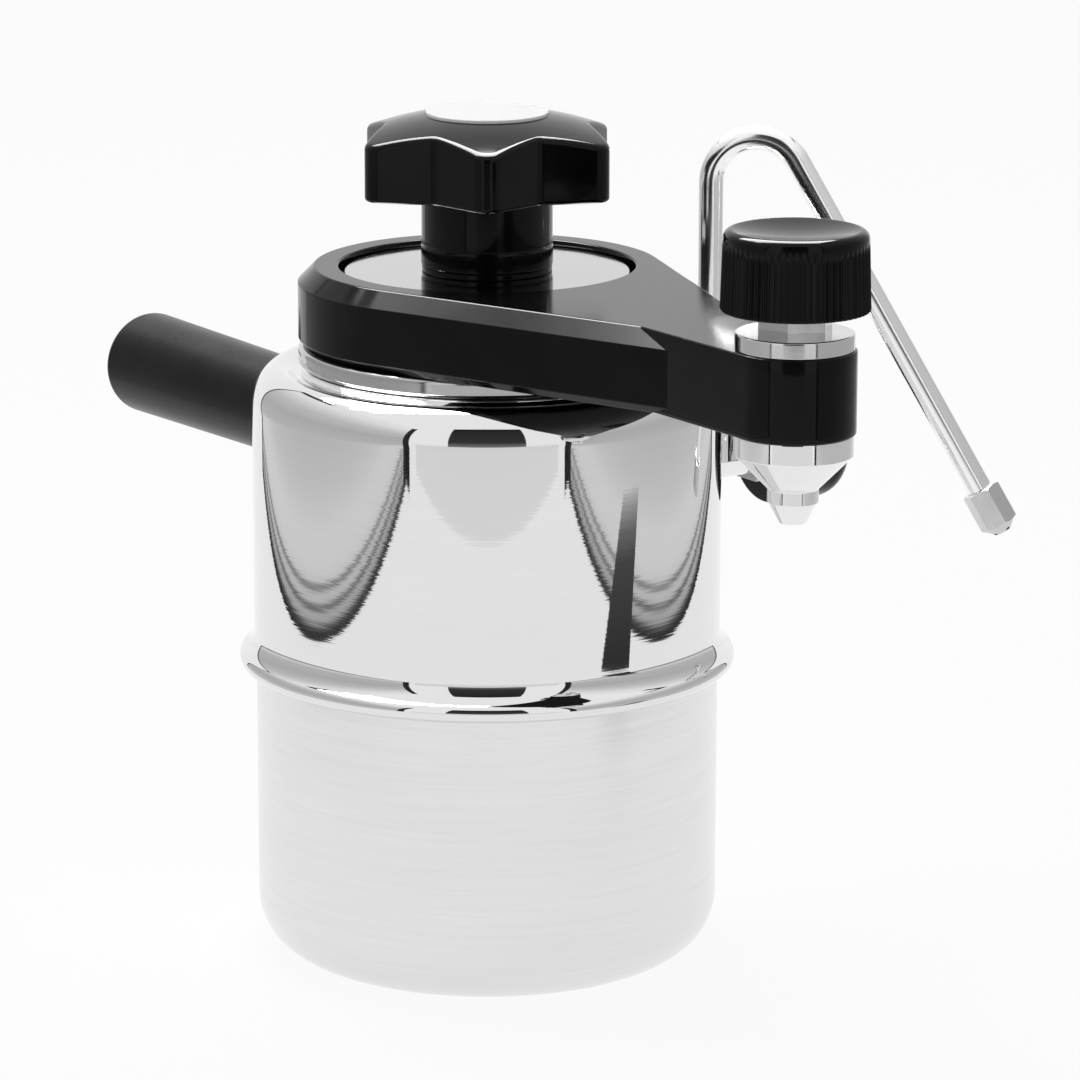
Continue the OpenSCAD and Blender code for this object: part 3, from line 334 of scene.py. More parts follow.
BEVEL_W, BEVEL_H, BEVEL_EARLY, BEVEL_LIGHT = 0.1, 0.17, 0.03, 16.0
BEVEL_TONES = [(0.0, 0.5), (0.03, 0.5), (0.05, 0.2), (0.1, 0.16), (0.125, 0.4), (0.15, 0.9), (BEVEL_H, 0.9)]
bevel_start, bevel_end = spot(-0.113, -0.5, 0.8), spot(-0.038, -0.405, 0.824)
bevel_run = (bevel_end - bevel_start).normalized()
bevel_across = bevel_run.cross(bevel_start).normalized()
bevel_at = bevel_start - bevel_run * BEVEL_EARLY
board("board_bevel", bevel_at, bevel_across, (BEVEL_W, BEVEL_H), BEVEL_TONES, upwards=bevel_run, strength=BEVEL_LIGHT)

RING_SIDE = 0.12
RING_TONES = [(0.0, 0.3), (RING_SIDE / 2, 0.9), (RING_SIDE, 0.3)]
ring_middle = spot(-0.28, -0.536, 0.7)
ring_across = ring_middle.cross(UPWARDS).normalized()
ring_at = ring_middle - UPWARDS * (RING_SIDE / 2)
board("board_ring", ring_at, ring_across, (RING_SIDE, RING_SIDE), RING_TONES, strength=BEVEL_LIGHT)

# %% [markdown]
# ## Finishes
# Each finish starts from one Principled shader. Numbers that are the same all over are set on its own sockets. What
# changes over the surface is written as maths on the object's own coordinates, so nothing needs unwrapping: the steel
# has fine lines round the boiler from drawing and polishing, the plating is smoother, and the mouldings have a faint
# ripple and a dusting of wear. Depths of bumps are given in micrometres.

# %% A blank finish
MICRON = 1e-6


def blank(name, **sockets):
    material = bpy.data.materials.new(name)
    material.use_nodes = True
    tree = material.node_tree
    shader = tree.nodes["Principled BSDF"]
    for socket, value in sockets.items():
        shader.inputs[socket.replace("_", " ")].default_value = value
    return material, shader, Wire(tree, tree.nodes.new("ShaderNodeTexCoord").outputs["Object"])


def feed(shader, sockets):
    for name, wire in sockets.items():
        wire.tree.links.new(wire.socket, shader.inputs[name])


def bumped(height, depth):
    sockets = {"Height": height, "Distance": depth * MICRON, "Strength": 1.0}
    return height.node("ShaderNodeBump", None, sockets)


print("a blank finish has", len(blank("spare")[1].inputs), "sockets")
bpy.data.materials.remove(bpy.data.materials["spare"])

# %% [markdown]
# ### Drawn and polished steel
# Sheet steel is drawn over a former and polished while it turns, so its scratches run round the axis. A noise whose
# pattern is almost forty times finer along the height than across it gives thin level lines. They drive the bump, and
# together with a broader haze they drive the tone and the roughness. The lower shell was scoured more than the upper
# one, so it takes the same recipe with more of everything.

# %% Steel finishes
STEEL_LINES = (30.0, 30.0, 1100.0)
STEEL_HAZE = (14.0, 14.0, 60.0)


def drawn_steel(name, light, dark, rough, rough_range, line_depth):
    material, shader, place = blank(name, Metallic=1.0)
    lines = (place * STEEL_LINES).noise(1.0, 2.0, 0.6)
    haze = (place * STEEL_HAZE).noise(1.0, 3.0)
    feed(shader, {
        "Base Color": (0.5 * lines + 0.5 * haze).blend(grey(light), grey(dark)),
        "Roughness": rough + rough_range * (0.6 * lines + 0.4 * haze),
        "Normal": bumped(lines, line_depth),
    })
    return material


polished_steel = drawn_steel("polished_steel", 0.8, 0.74, 0.012, 0.03, 2.4)
scoured_steel = drawn_steel("scoured_steel", 0.81, 0.72, 0.12, 0.14, 4.0)
lid_steel = drawn_steel("lid_steel", 0.54, 0.42, 0.05, 0.12, 1.2)
inner_steel = drawn_steel("inner_steel", 0.66, 0.56, 0.2, 0.16, 4.0)
print("steel:", polished_steel.name, scoured_steel.name, lid_steel.name, inner_steel.name)

# %% [markdown]
# ### Plated fittings and brass
# Turned brass fittings are plated with chrome, which is brighter and smoother than the steel and only shows a trace of
# the turning lines. The tap's body and the nuts are brushed and so a little darker, and the wand's tip is satin. The
# safety valve on the back stays bare brass, which dulls in cloudy patches.

# %% Chrome and brass finishes
TURNING_LINES = (90.0, 90.0, 2600.0)
CLOUD_SCALE = 160.0


def turned_metal(name, low, high, rough, rough_range, line_depth):
    material, shader, place = blank(name, Metallic=1.0)
    lines = (place * TURNING_LINES).noise(1.0, 3.0)
    clouds = place.noise(CLOUD_SCALE, 4.0, 0.6)
    feed(shader, {
        "Base Color": clouds.blend(low, high),
        "Roughness": rough + rough_range * clouds,
        "Normal": bumped(lines, line_depth),
    })
    return material


chrome = turned_metal("chrome_fitting", grey(0.86), grey(0.8), 0.03, 0.06, 1.2)
tube_chrome = turned_metal("tube_chrome", grey(0.94), grey(0.86), 0.12, 0.06, 0.8)
brushed_chrome = turned_metal("brushed_chrome", grey(0.7), grey(0.56), 0.08, 0.08, 2.0)
nut_chrome = turned_metal("nut_chrome", grey(0.52), grey(0.4), 0.08, 0.08, 2.0)
satin_chrome = turned_metal("satin_chrome", grey(0.68), grey(0.52), 0.2, 0.18, 6.0)
brass = turned_metal("brass_fitting", (0.74, 0.57, 0.28), (0.6, 0.43, 0.19), 0.2, 0.2, 3.0)
print("plated:", chrome.name, tube_chrome.name, brushed_chrome.name, nut_chrome.name, satin_chrome.name, brass.name)

# %% [markdown]
# ### Black mouldings
# The arm and knobs are a hard black thermoset with a polished skin. Up close such a skin has a faint ripple, and dust
# and handling leave it slightly uneven in gloss. The specular level is below the usual, because the moulding is darker
# in reflections than plain plastic. The grip is the same stuff with a satin, finely grained skin.

# %% Moulding finishes
MOULDING_SPECULAR = 0.14
WEAR_SCALE = 70.0
WEAR_STOPS = [(0.0, 0.0), (0.42, 0.1), (0.72, 1.0)]


def moulding(name, tone, worn_tone, rough, rough_range, grain, depth):
    material, shader, place = blank(name, Specular_IOR_Level=MOULDING_SPECULAR)
    ripple = place.noise(grain, 3.0)
    wear = place.noise(WEAR_SCALE, 5.0, 0.65)
    feed(shader, {
        "Base Color": wear.ramp(WEAR_STOPS).blend(grey(tone), grey(worn_tone)),
        "Roughness": rough + rough_range * wear,
        "Normal": bumped(ripple, depth),
    })
    return material


black_moulding = moulding("black_moulding", 0.002, 0.0045, 0.06, 0.1, 700.0, 4.0)
black_grip = moulding("black_grip", 0.003, 0.007, 0.22, 0.14, 2600.0, 8.0)
print("mouldings:", black_moulding.name, black_grip.name)

# %% [markdown]
# ### Rubber, packing and the pale disc
# Small soft parts stay matt. Rubber has a fine tooth, the gland packing is a pressed white ring, and the disc on the
# star knob is a smooth pale plate that is a little uneven in tone.

# %% Soft and pale finishes
TOOTH_ROUGHNESS = 0.15


def matt(name, low, high, rough, grain, depth, specular=0.5):
    material, shader, place = blank(name, Specular_IOR_Level=specular)
    tooth = place.noise(grain, 4.0, 0.6)
    feed(shader, {
        "Base Color": tooth.blend(low, high),
        "Roughness": rough + TOOTH_ROUGHNESS * tooth,
        "Normal": bumped(tooth, depth),
    })
    return material


seal_rubber = matt("seal_rubber", grey(0.045), grey(0.085), 0.6, 900.0, 20.0)
gland_packing = matt("gland_packing", (0.78, 0.77, 0.73), (0.88, 0.87, 0.83), 0.6, 1200.0, 30.0)
pale_disc = matt("pale_disc", grey(0.66), grey(0.72), 0.5, 420.0, 4.0, 0.1)
finish_for = {
    "polished_steel": inner_steel, "chrome_fitting": chrome, "black_moulding": black_moulding,
    "black_grip": black_grip, "seal_rubber": seal_rubber, "brass_fitting": brass,
    "gland_packing": gland_packing, "pale_disc": pale_disc,
}
print("finishes by slot:", len(finish_for))

# %% [markdown]
# ## Shapes that are turned on a lathe
# Most of the machine is turned, so most pieces are a section spun round an axis. A section is a list of corners in
# millimetres, each with its own rounding. Every rounding becomes a short arc, and a support point goes just outside
# each end of it: smooth shading then bends only inside the arc and the long faces stay truly flat in reflections.

# %% Sections with rounded corners
LARGE_ROUNDING, LARGE_STEP, SMALL_STEP, FEWEST_STEPS = 2, 3, 12, 4
SUPPORT = 0.15


def rounded(corners, closed=True):
    """Points along corners of (radius, height, rounding), in millimetres."""
    points, count = [], len(corners)
    for i, (r, z, rounding) in enumerate(corners):
        here = np.array((r, z), float)
        if not rounding or (not closed and i in (0, count - 1)):
            points.append(here)
            continue
        before = np.array(corners[i - 1][:2]) - here
        after = np.array(corners[(i + 1) % count][:2]) - here
        a, b = before / np.linalg.norm(before), after / np.linalg.norm(after)
        half = math.acos(max(-1.0, min(1.0, float(a @ b)))) / 2
        cut = rounding / math.tan(half)
        centre = here + (a + b) / np.linalg.norm(a + b) * rounding / math.sin(half)
        start, end = here + a * cut - centre, here + b * cut - centre
        turn = math.atan2(start[0] * end[1] - start[1] * end[0], float(start @ end))
        step_size = LARGE_STEP if rounding > LARGE_ROUNDING else SMALL_STEP
        steps = max(FEWEST_STEPS, math.ceil(abs(math.degrees(turn)) / step_size))
        support = min(SUPPORT, rounding / 4)
        if np.linalg.norm(before) > cut + 4 * support:
            points.append(centre + start + a * support)
        for step in range(steps + 1):
            c, s = math.cos(turn * step / steps), math.sin(turn * step / steps)
            points.append(centre + (c * start[0] - s * start[1], s * start[0] + c * start[1]))
        if np.linalg.norm(after) > cut + 4 * support:
            points.append(centre + end + b * support)
    return points


print("a rounded square has", len(rounded([(1, 0, 0.2), (2, 0, 0.2), (2, 1, 0.2), (1, 1, 0.2)])), "points")

# %% [markdown]
# A skin is a list of points and a list of faces. Spinning a section gives one kind of skin. Shapes that aren't turned
# are drawn as loops with equal numbers of points: bands of quads join the loops, and flat ends are filled with
# triangles.

# %% Skins from sections and loops
TINY = 1e-6


def circle(r, z, sides):
    turns = [2 * math.pi * k / sides for k in range(sides)]
    return [(r * math.cos(t), r * math.sin(t), z) for t in turns]


def spun(points, sides=160, closed=True):
    """The skin of a section that is spun round +Z. A section that isn't closed starts and ends on the axis."""
    verts, rows, faces = [], [], []
    for r, z in points:
        start = len(verts)
        verts += circle(r, z, sides) if r > TINY else [(0.0, 0.0, z)]
        rows.append(range(start, len(verts)))
    for low, high in zip(rows, rows[1:] + rows[:1] if closed else rows[1:]):
        for k in range(sides):
            m = (k + 1) % sides
            quad = (low[k % len(low)], low[m % len(low)], high[m % len(high)], high[k % len(high)])
            face = tuple(dict.fromkeys(quad))
            if len(face) > 2:
                faces.append(face)
    return verts, faces


def banded(loops):
    """Quads between loops that all have the same number of points."""
    count, faces = len(loops[0]), []
    for i in range(len(loops) - 1):
        for k in range(count):
            m = (k + 1) % count
            faces.append((i * count + k, i * count + m, (i + 1) * count + m, (i + 1) * count + k))
    return [v for loop in loops for v in loop], faces


def filled(skin, *outlines):
    """Adds triangles that fill between outlines of (first vertex, count) in a skin."""
    verts, faces = skin
    order = [i for first, count in outlines for i in range(first, first + count)]
    loops = [[Vector((*verts[i][:2], 0.0)) for i in range(first, first + count)] for first, count in outlines]
    return verts, faces + [tuple(order[i] for i in face) for face in tessellate_polygon(loops)]


def capped(loops):
    """Bands with their first and last loop filled."""
    skin, count = banded(loops), len(loops[0])
    return filled(filled(skin, (0, count)), (len(skin[0]) - count, count))


print("a spun square has", len(spun([(1, 0), (2, 0), (2, 1), (1, 1)])[1]), "faces")

# %% [markdown]
# ## From skins to pieces
# A piece can be one skin or several closed skins together. It is shaded smooth, apart from edges sharper than 28
# degrees, and gets its finish. It rides on the body of the CAD solid that it stands for, and takes that solid's place.

# %% Make a piece in place of a solid
MM = 0.001
SHARP_ANGLE = math.radians(28)


def piece(name, skins, finish, node, place=Matrix.Identity(4)):
    verts, faces = [], []
    for skin_verts, skin_faces in skins:
        first = len(verts)
        verts += [place @ (Vector(v) * MM) for v in skin_verts]
        faces += [tuple(first + i for i in face) for face in skin_faces]
    mesh = bpy.data.meshes.new(name)
    mesh.from_pydata(verts, [], faces)
    work = bmesh.new()
    work.from_mesh(mesh)
    bmesh.ops.recalc_face_normals(work, faces=work.faces)
    work.to_mesh(mesh)
    work.free()
    mesh.polygons.foreach_set("use_smooth", [True] * len(mesh.polygons))
    mesh.set_sharp_from_angle(angle=SHARP_ANGLE)
    mesh.materials.append(finish)
    made = bpy.data.objects.new(name, mesh)
    scene.collection.objects.link(made)
    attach(made, body_with[node])
    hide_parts(node)
    print(name, "stands for", node, "with", len(mesh.polygons), "faces")


def axis_place(x, y, z, direction):
    """Puts a piece that is drawn along +Z, in millimetres, along another direction."""
    turn = UPWARDS.rotation_difference(Vector(direction))
    return Matrix.Translation(Vector((x, y, z)) * MM) @ turn.to_matrix().to_4x4()


# %% [markdown]
# ## The boiler
# The lower shell is a plain drawn cup with a generous rounding at the foot. The upper shell slips over it: its edge
# flares out in a hollow and ends in a small rolled lip. Above that the wall runs up over a soft shoulder, whose crest
# stands a little above the flat top that carries the neck. Both shells are spun with their real sheet thickness, so
# the inside is right when the lid is lifted.

# %% Lower shell
LOWER_R, SHEET, FOOT, JOINT_Z, LOWER_SIDES = 57.4, 1.2, 15.0, 76.5, 240
lower_corners = [
    (0, 0, 0), (LOWER_R, 0, FOOT), (LOWER_R, JOINT_Z, 0), (LOWER_R - SHEET, JOINT_Z, 0),
    (LOWER_R - SHEET, SHEET, FOOT - SHEET), (0, SHEET, 0),
]
lower_skin = spun(rounded(lower_corners, False), LOWER_SIDES, False)
piece("boiler_lower_shell", [lower_skin], scoured_steel, "lower_shell")

# %% Upper shell
UPPER_R, TOP_Z, NECK_STEM_R, UPPER_SIDES = 58.0, 147.0, 40.0, 256
LIP_R, LIP_Z, LIP_ROLL, LIP_HOLLOW, LIP_GAP = 61.6, 75.9, 2.4, 6.0, 0.05
SHOULDER, SHOULDER_TURN, CREST_H, CREST_ROLL, CREST_SLOPE, DIP = 10.0, 55.0, 2.0, 4.0, 35.0, 1.2
WALL_SUPPORT = 0.2


def arc(r, z, radius, start, end, steps):
    turns = [math.radians(start + (end - start) * i / steps) for i in range(steps + 1)]
    return [np.array((r + radius * math.cos(t), z + radius * math.sin(t))) for t in turns]


hollow_r, roll_r = UPPER_R + LIP_HOLLOW, LIP_R - LIP_ROLL
hollow_z = LIP_Z + math.sqrt((LIP_ROLL + LIP_HOLLOW) ** 2 - (hollow_r - roll_r) ** 2)
meet = math.degrees(math.atan2(hollow_z - LIP_Z, hollow_r - roll_r))
tuck = -math.degrees(math.acos((LOWER_R + LIP_GAP - roll_r) / LIP_ROLL))
lip = arc(roll_r, LIP_Z, LIP_ROLL, tuck, meet, 48)
hollow = arc(hollow_r, hollow_z, LIP_HOLLOW, 180 + meet, 180, 24)
lean = math.radians(SHOULDER_TURN)
crest_z = TOP_Z + CREST_H - CREST_ROLL
crest_r = UPPER_R - SHOULDER + (SHOULDER - CREST_ROLL) * math.cos(lean)
wall_top = crest_z - (SHOULDER - CREST_ROLL) * math.sin(lean)


def over_shoulder(depth):
    """The sheet's line at a depth below its outside, from the wall over the crest to the flat top."""
    side = arc(UPPER_R - SHOULDER, wall_top, SHOULDER - depth, 0, SHOULDER_TURN, 22)
    crest = arc(crest_r, crest_z, CREST_ROLL - depth, SHOULDER_TURN, 90 + CREST_SLOPE, 24)
    end, flat = crest[-1], TOP_Z - depth
    foot = (end[0] - (end[1] - flat) / math.tan(math.radians(CREST_SLOPE)), flat)
    dip = rounded([(*end, 0), (*foot, DIP + depth), (NECK_STEM_R, flat, 0)], False)
    return [np.array((UPPER_R - depth, wall_top - WALL_SUPPORT))] + side + crest[1:] + dip[1:]


sheet = [np.array((UPPER_R, hollow_z + WALL_SUPPORT))] + over_shoulder(0) + over_shoulder(SHEET)[::-1]
sheet += [np.array((UPPER_R - SHEET, JOINT_Z)), np.array((LOWER_R, JOINT_Z))]
piece("boiler_upper_shell", [spun(lip + hollow + sheet, UPPER_SIDES)], polished_steel, "upper_shell")

# %% [markdown]
# ## Neck ring and lid
# The neck ring is pressed into the shell's top. Its flange shows as a thin bright band under the lid's rim, and two
# lugs inside hold the clamp's bridge bar. The lid is one turned piece: a rim with softened edges, a groove below for
# the seal, and a crown that rises inside the arm's ring and shows as a silver disc.

# %% Neck ring
NECK_BORE, NECK_TOP, NECK_FOOT, NECK_FLANGE_R, NECK_SIDES = 36.0, 149.4, 133.0, 45.8, 200
LEDGE_R, LEDGE_TOP = 32.5, NECK_FOOT + 2
LUG_HALF_ARC, LUG_H, LUG_DROP, LUG_STEPS = 22, 3.4, 0.01, 20
LUG_IN_R, LUG_OUT_R = NECK_BORE - 5, NECK_BORE + 2
neck_corners = [
    (NECK_BORE, LEDGE_TOP, 0.2), (NECK_BORE, NECK_TOP, 0.4), (NECK_FLANGE_R, NECK_TOP, 0.5),
    (NECK_FLANGE_R, TOP_Z, 0.4), (NECK_STEM_R, TOP_Z, 0), (NECK_STEM_R, NECK_FOOT, 0.4),
    (LEDGE_R, NECK_FOOT, 0.3), (LEDGE_R, LEDGE_TOP, 0.3),
]


def lug(middle):
    """A block that follows part of the neck's bore, round an angle in degrees."""
    low, high = NECK_TOP - LUG_H, NECK_TOP - LUG_DROP
    section = ((LUG_IN_R, low), (LUG_OUT_R, low), (LUG_OUT_R, high), (LUG_IN_R, high))
    verts, faces = [], []
    for i in range(LUG_STEPS + 1):
        t = math.radians(middle - LUG_HALF_ARC + 2 * LUG_HALF_ARC * i / LUG_STEPS)
        verts += [(r * math.cos(t), r * math.sin(t), z) for r, z in section]
    for i in range(LUG_STEPS):
        for k in range(4):
            a, b = 4 * i + k, 4 * i + (k + 1) % 4
            faces.append((a, b, b + 4, a + 4))
    return verts, faces + [(0, 1, 2, 3), tuple(4 * LUG_STEPS + k for k in range(4))]


neck_skin = spun(rounded(neck_corners), NECK_SIDES)
piece("neck_ring_turned", [neck_skin, lug(0), lug(180)], chrome, "neck_ring")

# %% Lid plate
LID_LOW, LID_TOP, LID_R, LID_SIDES = 149.7, 154.4, 46.5, 220
CROWN_R, CROWN_TOP, CROWN_WALL, STUD_HOLE_R = 35.2, 172.5, 2, 5.4
SEAL_IN_R, SEAL_OUT_R, GROOVE_TOP = 36.5, 44.2, LID_LOW + 1.8
lid_corners = [
    (STUD_HOLE_R, CROWN_TOP - CROWN_WALL, 0), (STUD_HOLE_R, CROWN_TOP, 0.3), (CROWN_R, CROWN_TOP, 0.5),
    (CROWN_R, LID_TOP, 0), (LID_R, LID_TOP, 1.3), (LID_R, LID_LOW, 1.0), (SEAL_OUT_R, LID_LOW, 0.2),
    (SEAL_OUT_R, GROOVE_TOP, 0), (SEAL_IN_R, GROOVE_TOP, 0), (SEAL_IN_R, LID_LOW, 0.2),
    (CROWN_R - CROWN_WALL, LID_LOW, 0.3), (CROWN_R - CROWN_WALL, CROWN_TOP - CROWN_WALL, 0.4),
]
piece("lid_turned", [spun(rounded(lid_corners), LID_SIDES)], lid_steel, "lid_plate")

# %% [markdown]
# ## The arm
# The arm is one black moulding: a ring round the crown, sides that taper tangentially to a kink, then a straight bar
# with a round end that carries the tap. The ring and the tapered sides are bevelled above and below, and the bevel runs
# out in a mitre at the kink. A bevel modifier can't make that run-out, so the outline is drawn at many levels instead.
# At each level the ring and tapered sides move in by one amount and the bar by another, and the kink is wherever
# those two outlines cross.

# %% The arm's outline at one level
ARM_R, ARM_LOW, ARM_TOP, ARM_END_R, ARM_REACH, ARM_KINK = 46.5, 154.4, 173.9, 14.3, 124.8, 95.3
ARM_BEVEL, ARM_UNDER, ARM_FLAT = 4.0, 2.0, 8
KINK_SOFT, KINK_POINTS, RING_POINTS, END_POINTS = 0.8, 5, 150, 60
taper = math.atan2(ARM_END_R, ARM_KINK) + math.acos(ARM_R / math.hypot(ARM_KINK, ARM_END_R))


def soft_corner(before, here, after):
    """The kink with a small arc in it, always with the same number of points."""
    bend = np.array(rounded([(*before, 0), (*here, KINK_SOFT), (*after, 0)], False)[1:-1])
    along = np.linspace(0, len(bend) - 1, KINK_POINTS)
    return [tuple(np.interp(t, range(len(bend)), bend[:, k]) for k in (0, 1)) for t in along]


def arm_outline(side_in, bar_in):
    ring_r, half = ARM_R - side_in, ARM_END_R - bar_in
    turns = np.linspace(-taper, taper - 2 * math.pi, RING_POINTS)
    ring = [(ring_r * math.cos(t), ring_r * math.sin(t)) for t in turns]
    kink = np.array(((ring_r - half * math.sin(taper)) / math.cos(taper), half))
    upper = soft_corner(np.array(ring[-1]), kink, np.array((ARM_REACH, half)))
    turns = np.linspace(math.pi / 2, -math.pi / 2, END_POINTS)
    end = [(ARM_REACH + half * math.cos(t), half * math.sin(t)) for t in turns]
    return ring + upper + end + [(x, -y) for x, y in reversed(upper)]


side_corners = [
    (ARM_FLAT, ARM_TOP, 0), (ARM_BEVEL, ARM_TOP, 0.7), (0, ARM_TOP - ARM_BEVEL, 0.5),
    (0, ARM_LOW + ARM_UNDER, 0.5), (ARM_UNDER, ARM_LOW, 0.5), (ARM_FLAT, ARM_LOW, 0),
]
side_levels = [tuple(p) for p in rounded(side_corners, False)[1:-1]]
print("outline points:", len(arm_outline(0, 0)), "levels:", len(side_levels))

# %% [markdown]
# The bar has its own small rounding at its upper and lower edges, so a few levels are added there. The flat top and
# bottom have a round hole for the crown: they are filled between the two outlines, and a short bore joins them.

# %% Skin the arm
BAR_SOFT, BAR_FOLLOW = 0.5, 0.12
ARM_BORE, BORE_FLAT, BORE_SIDES = 36.4, 4, 150


def bar_inset(z, extra):
    """How far the bar moves in at a level, by its own rounding."""
    near = min(ARM_TOP - z, z - ARM_LOW)
    if near >= BAR_SOFT:
        return 0.0
    return BAR_SOFT - math.sqrt(max(0.0, BAR_SOFT ** 2 - (BAR_SOFT - near) ** 2)) + extra


def downwards(level):
    """Sorts levels from the top down. On the flat top the innermost comes first, elsewhere the outermost."""
    side_in, z = level
    return -z, -side_in if z > ARM_TOP - TINY else side_in


bar_levels = [
    (ARM_BEVEL - BAR_SOFT, ARM_TOP - BAR_SOFT), (ARM_BEVEL - BAR_SOFT / 2, ARM_TOP - BAR_SOFT / 2),
    (ARM_UNDER - BAR_SOFT, ARM_LOW + BAR_SOFT),
]
arm_loops = []
for side_in, z in sorted(set(side_levels + bar_levels), key=downwards):
    flat = min(abs(z - ARM_TOP), abs(z - ARM_LOW)) < TINY
    bevel = ARM_BEVEL if z > (ARM_LOW + ARM_TOP) / 2 else ARM_UNDER
    extra = max(0.0, BAR_FOLLOW * (side_in - bevel)) if flat else 0.0
    arm_loops.append([(x, y, z) for x, y in arm_outline(side_in, bar_inset(z, extra))])
bore_corners = [
    (ARM_BORE + BORE_FLAT, ARM_LOW, 0), (ARM_BORE, ARM_LOW, 0.4),
    (ARM_BORE, ARM_TOP, 0.6), (ARM_BORE + BORE_FLAT, ARM_TOP, 0),
]
outer_verts, outer_faces = banded(arm_loops)
bore_verts, bore_faces = banded([circle(r, z, BORE_SIDES) for r, z in rounded(bore_corners, False)[1:-1]])
first, count = len(outer_verts), len(arm_loops[0])
arm_skin = (outer_verts + bore_verts, outer_faces + [tuple(first + i for i in face) for face in bore_faces])
arm_skin = filled(arm_skin, (0, count), (first + len(bore_verts) - BORE_SIDES, BORE_SIDES))
arm_skin = filled(arm_skin, (first - count, count), (first, BORE_SIDES))
piece("arm_moulding", [arm_skin], black_moulding, "arm")

# %% [markdown]
# ## The star knob
# The knob that clamps the lid has six lobes with straight flanks, round tips and round valleys, a domed top and softly
# rounded edges. Moving such an outline inwards is easy: each rounding keeps its centre, the tips get smaller and the
# valleys larger, and the flanks follow. One sixth is worked out with complex numbers, because turning a point is then
# a product.

# %% The star's outline
STAR_R, VALLEY_AT, LOBE_R, VALLEY_R, LOBES, LOBE_TURN = 33.5, 25.5, 4.5, 4.0, 6, math.radians(-34)
LOBE_POINTS, VALLEY_POINTS, FLANK_SHARES = 23, 13, (0.2, 0.4, 0.6, 0.8)
half_lobe = math.pi / LOBES
lobe_at, valley_at = STAR_R - LOBE_R, cmath.rect(VALLEY_AT + VALLEY_R, half_lobe)
centres_apart, heading = cmath.polar(valley_at - lobe_at)
flank_turn = heading - math.acos((LOBE_R + VALLEY_R) / centres_apart)


def star_outline(inset):
    tip = np.linspace(-flank_turn, flank_turn, LOBE_POINTS)
    inner = np.linspace(flank_turn, 2 * half_lobe - flank_turn, VALLEY_POINTS)
    lobe = [lobe_at + cmath.rect(LOBE_R - inset, t) for t in tip]
    valley = [valley_at - cmath.rect(VALLEY_R + inset, t) for t in inner]
    next_lobe = lobe[0] * cmath.rect(1, 2 * half_lobe)
    down = [lobe[-1] + (valley[0] - lobe[-1]) * share for share in FLANK_SHARES]
    up = [valley[-1] + (next_lobe - valley[-1]) * share for share in FLANK_SHARES]
    turns = [cmath.rect(1, LOBE_TURN + 2 * half_lobe * i) for i in range(LOBES)]
    return [((p * turn).real, (p * turn).imag) for turn in turns for p in lobe + down + valley + up]


print("star points:", len(star_outline(0)))

# %% [markdown]
# Each loop of the top edge is moved in and lifted along a quarter circle, and then the loops melt into the round seat
# of the disc. Below the star is its stem, with a shallow groove near the foot, and a thrust washer that is as wide.

# %% Star, stem, washer and disc
STAR_LOW, STAR_TOP, STAR_SOFT, LOWER_SOFT, STAR_SUPPORT = 192.1, 208.6, 1.3, 0.9, 0.2
DOME_R, DISC_R, DISC_SINK, DISC_RISE = 90.0, 15.0, 0.3, 0.79
SEAT_R, SEAT_DROP, SEAT_SHARES = DISC_R + 0.12, 0.5, (0.04, 0.2, 0.4, 0.6, 0.8, 0.97, 1.0)
STEM_BORE, STEM_R, STEM_UPPER_R, GROOVE_R, STEM_LOW, STEM_TOP = 8.2, 16.2, 16.1, 15.9, 174.0, 193.1
WASHER_BORE, WASHER_R, WASHER_LOW, WASHER_TOP, KNOB_SIDES = 5.6, 16.0, 172.6, 173.9, 128
dome_top = STAR_TOP + DOME_R - math.sqrt(DOME_R ** 2 - VALLEY_AT ** 2)


def dome(x, y):
    return dome_top - DOME_R + math.sqrt(DOME_R ** 2 - x * x - y * y)


def quarter(steps):
    return [math.pi / 2 * i / steps for i in range(steps + 1)]


star_loops = []
for t in quarter(5):
    inset, z = LOWER_SOFT * (1 - math.sin(t)), STAR_LOW + LOWER_SOFT * (1 - math.cos(t))
    star_loops.append([(x, y, z) for x, y in star_outline(inset)])
star_loops.append([(x, y, STAR_LOW + LOWER_SOFT + STAR_SUPPORT) for x, y in star_outline(0)])
star_loops.append([(x, y, dome(x, y) - STAR_SOFT - STAR_SUPPORT) for x, y in star_outline(0)])
for t in quarter(8):
    inset, drop = STAR_SOFT * (1 - math.cos(t)), STAR_SOFT * (1 - math.sin(t))
    star_loops.append([(x, y, dome(x, y) - drop) for x, y in star_outline(inset)])
for share in SEAT_SHARES:
    loop = []
    for x, y in star_outline(STAR_SOFT):
        r = math.hypot(x, y)
        scale = (r + (SEAT_R - r) * share) / r
        loop.append((x * scale, y * scale, dome(x * scale, y * scale)))
    star_loops.append(loop)
star_loops.append([(x, y, z - SEAT_DROP) for x, y, z in star_loops[-1]])
stem_corners = [
    (STEM_BORE, STEM_LOW, 0), (STEM_R, STEM_LOW, 0.6), (STEM_R, 178.6, 0.3), (GROOVE_R, 179.1, 0.3),
    (STEM_UPPER_R, 179.6, 0.3), (STEM_UPPER_R, STEM_TOP, 0), (STEM_BORE, STEM_TOP, 0),
]
stem_skin = spun(rounded(stem_corners), KNOB_SIDES)
piece("star_knob_moulding", [capped(star_loops), stem_skin], black_moulding, "star_knob")
washer_corners = [
    (WASHER_BORE, WASHER_LOW, 0), (WASHER_R, WASHER_LOW, 0.25),
    (WASHER_R, WASHER_TOP, 0.2), (WASHER_BORE, WASHER_TOP, 0),
]
piece("thrust_washer_turned", [spun(rounded(washer_corners), KNOB_SIDES)], black_moulding, "knob_washer")
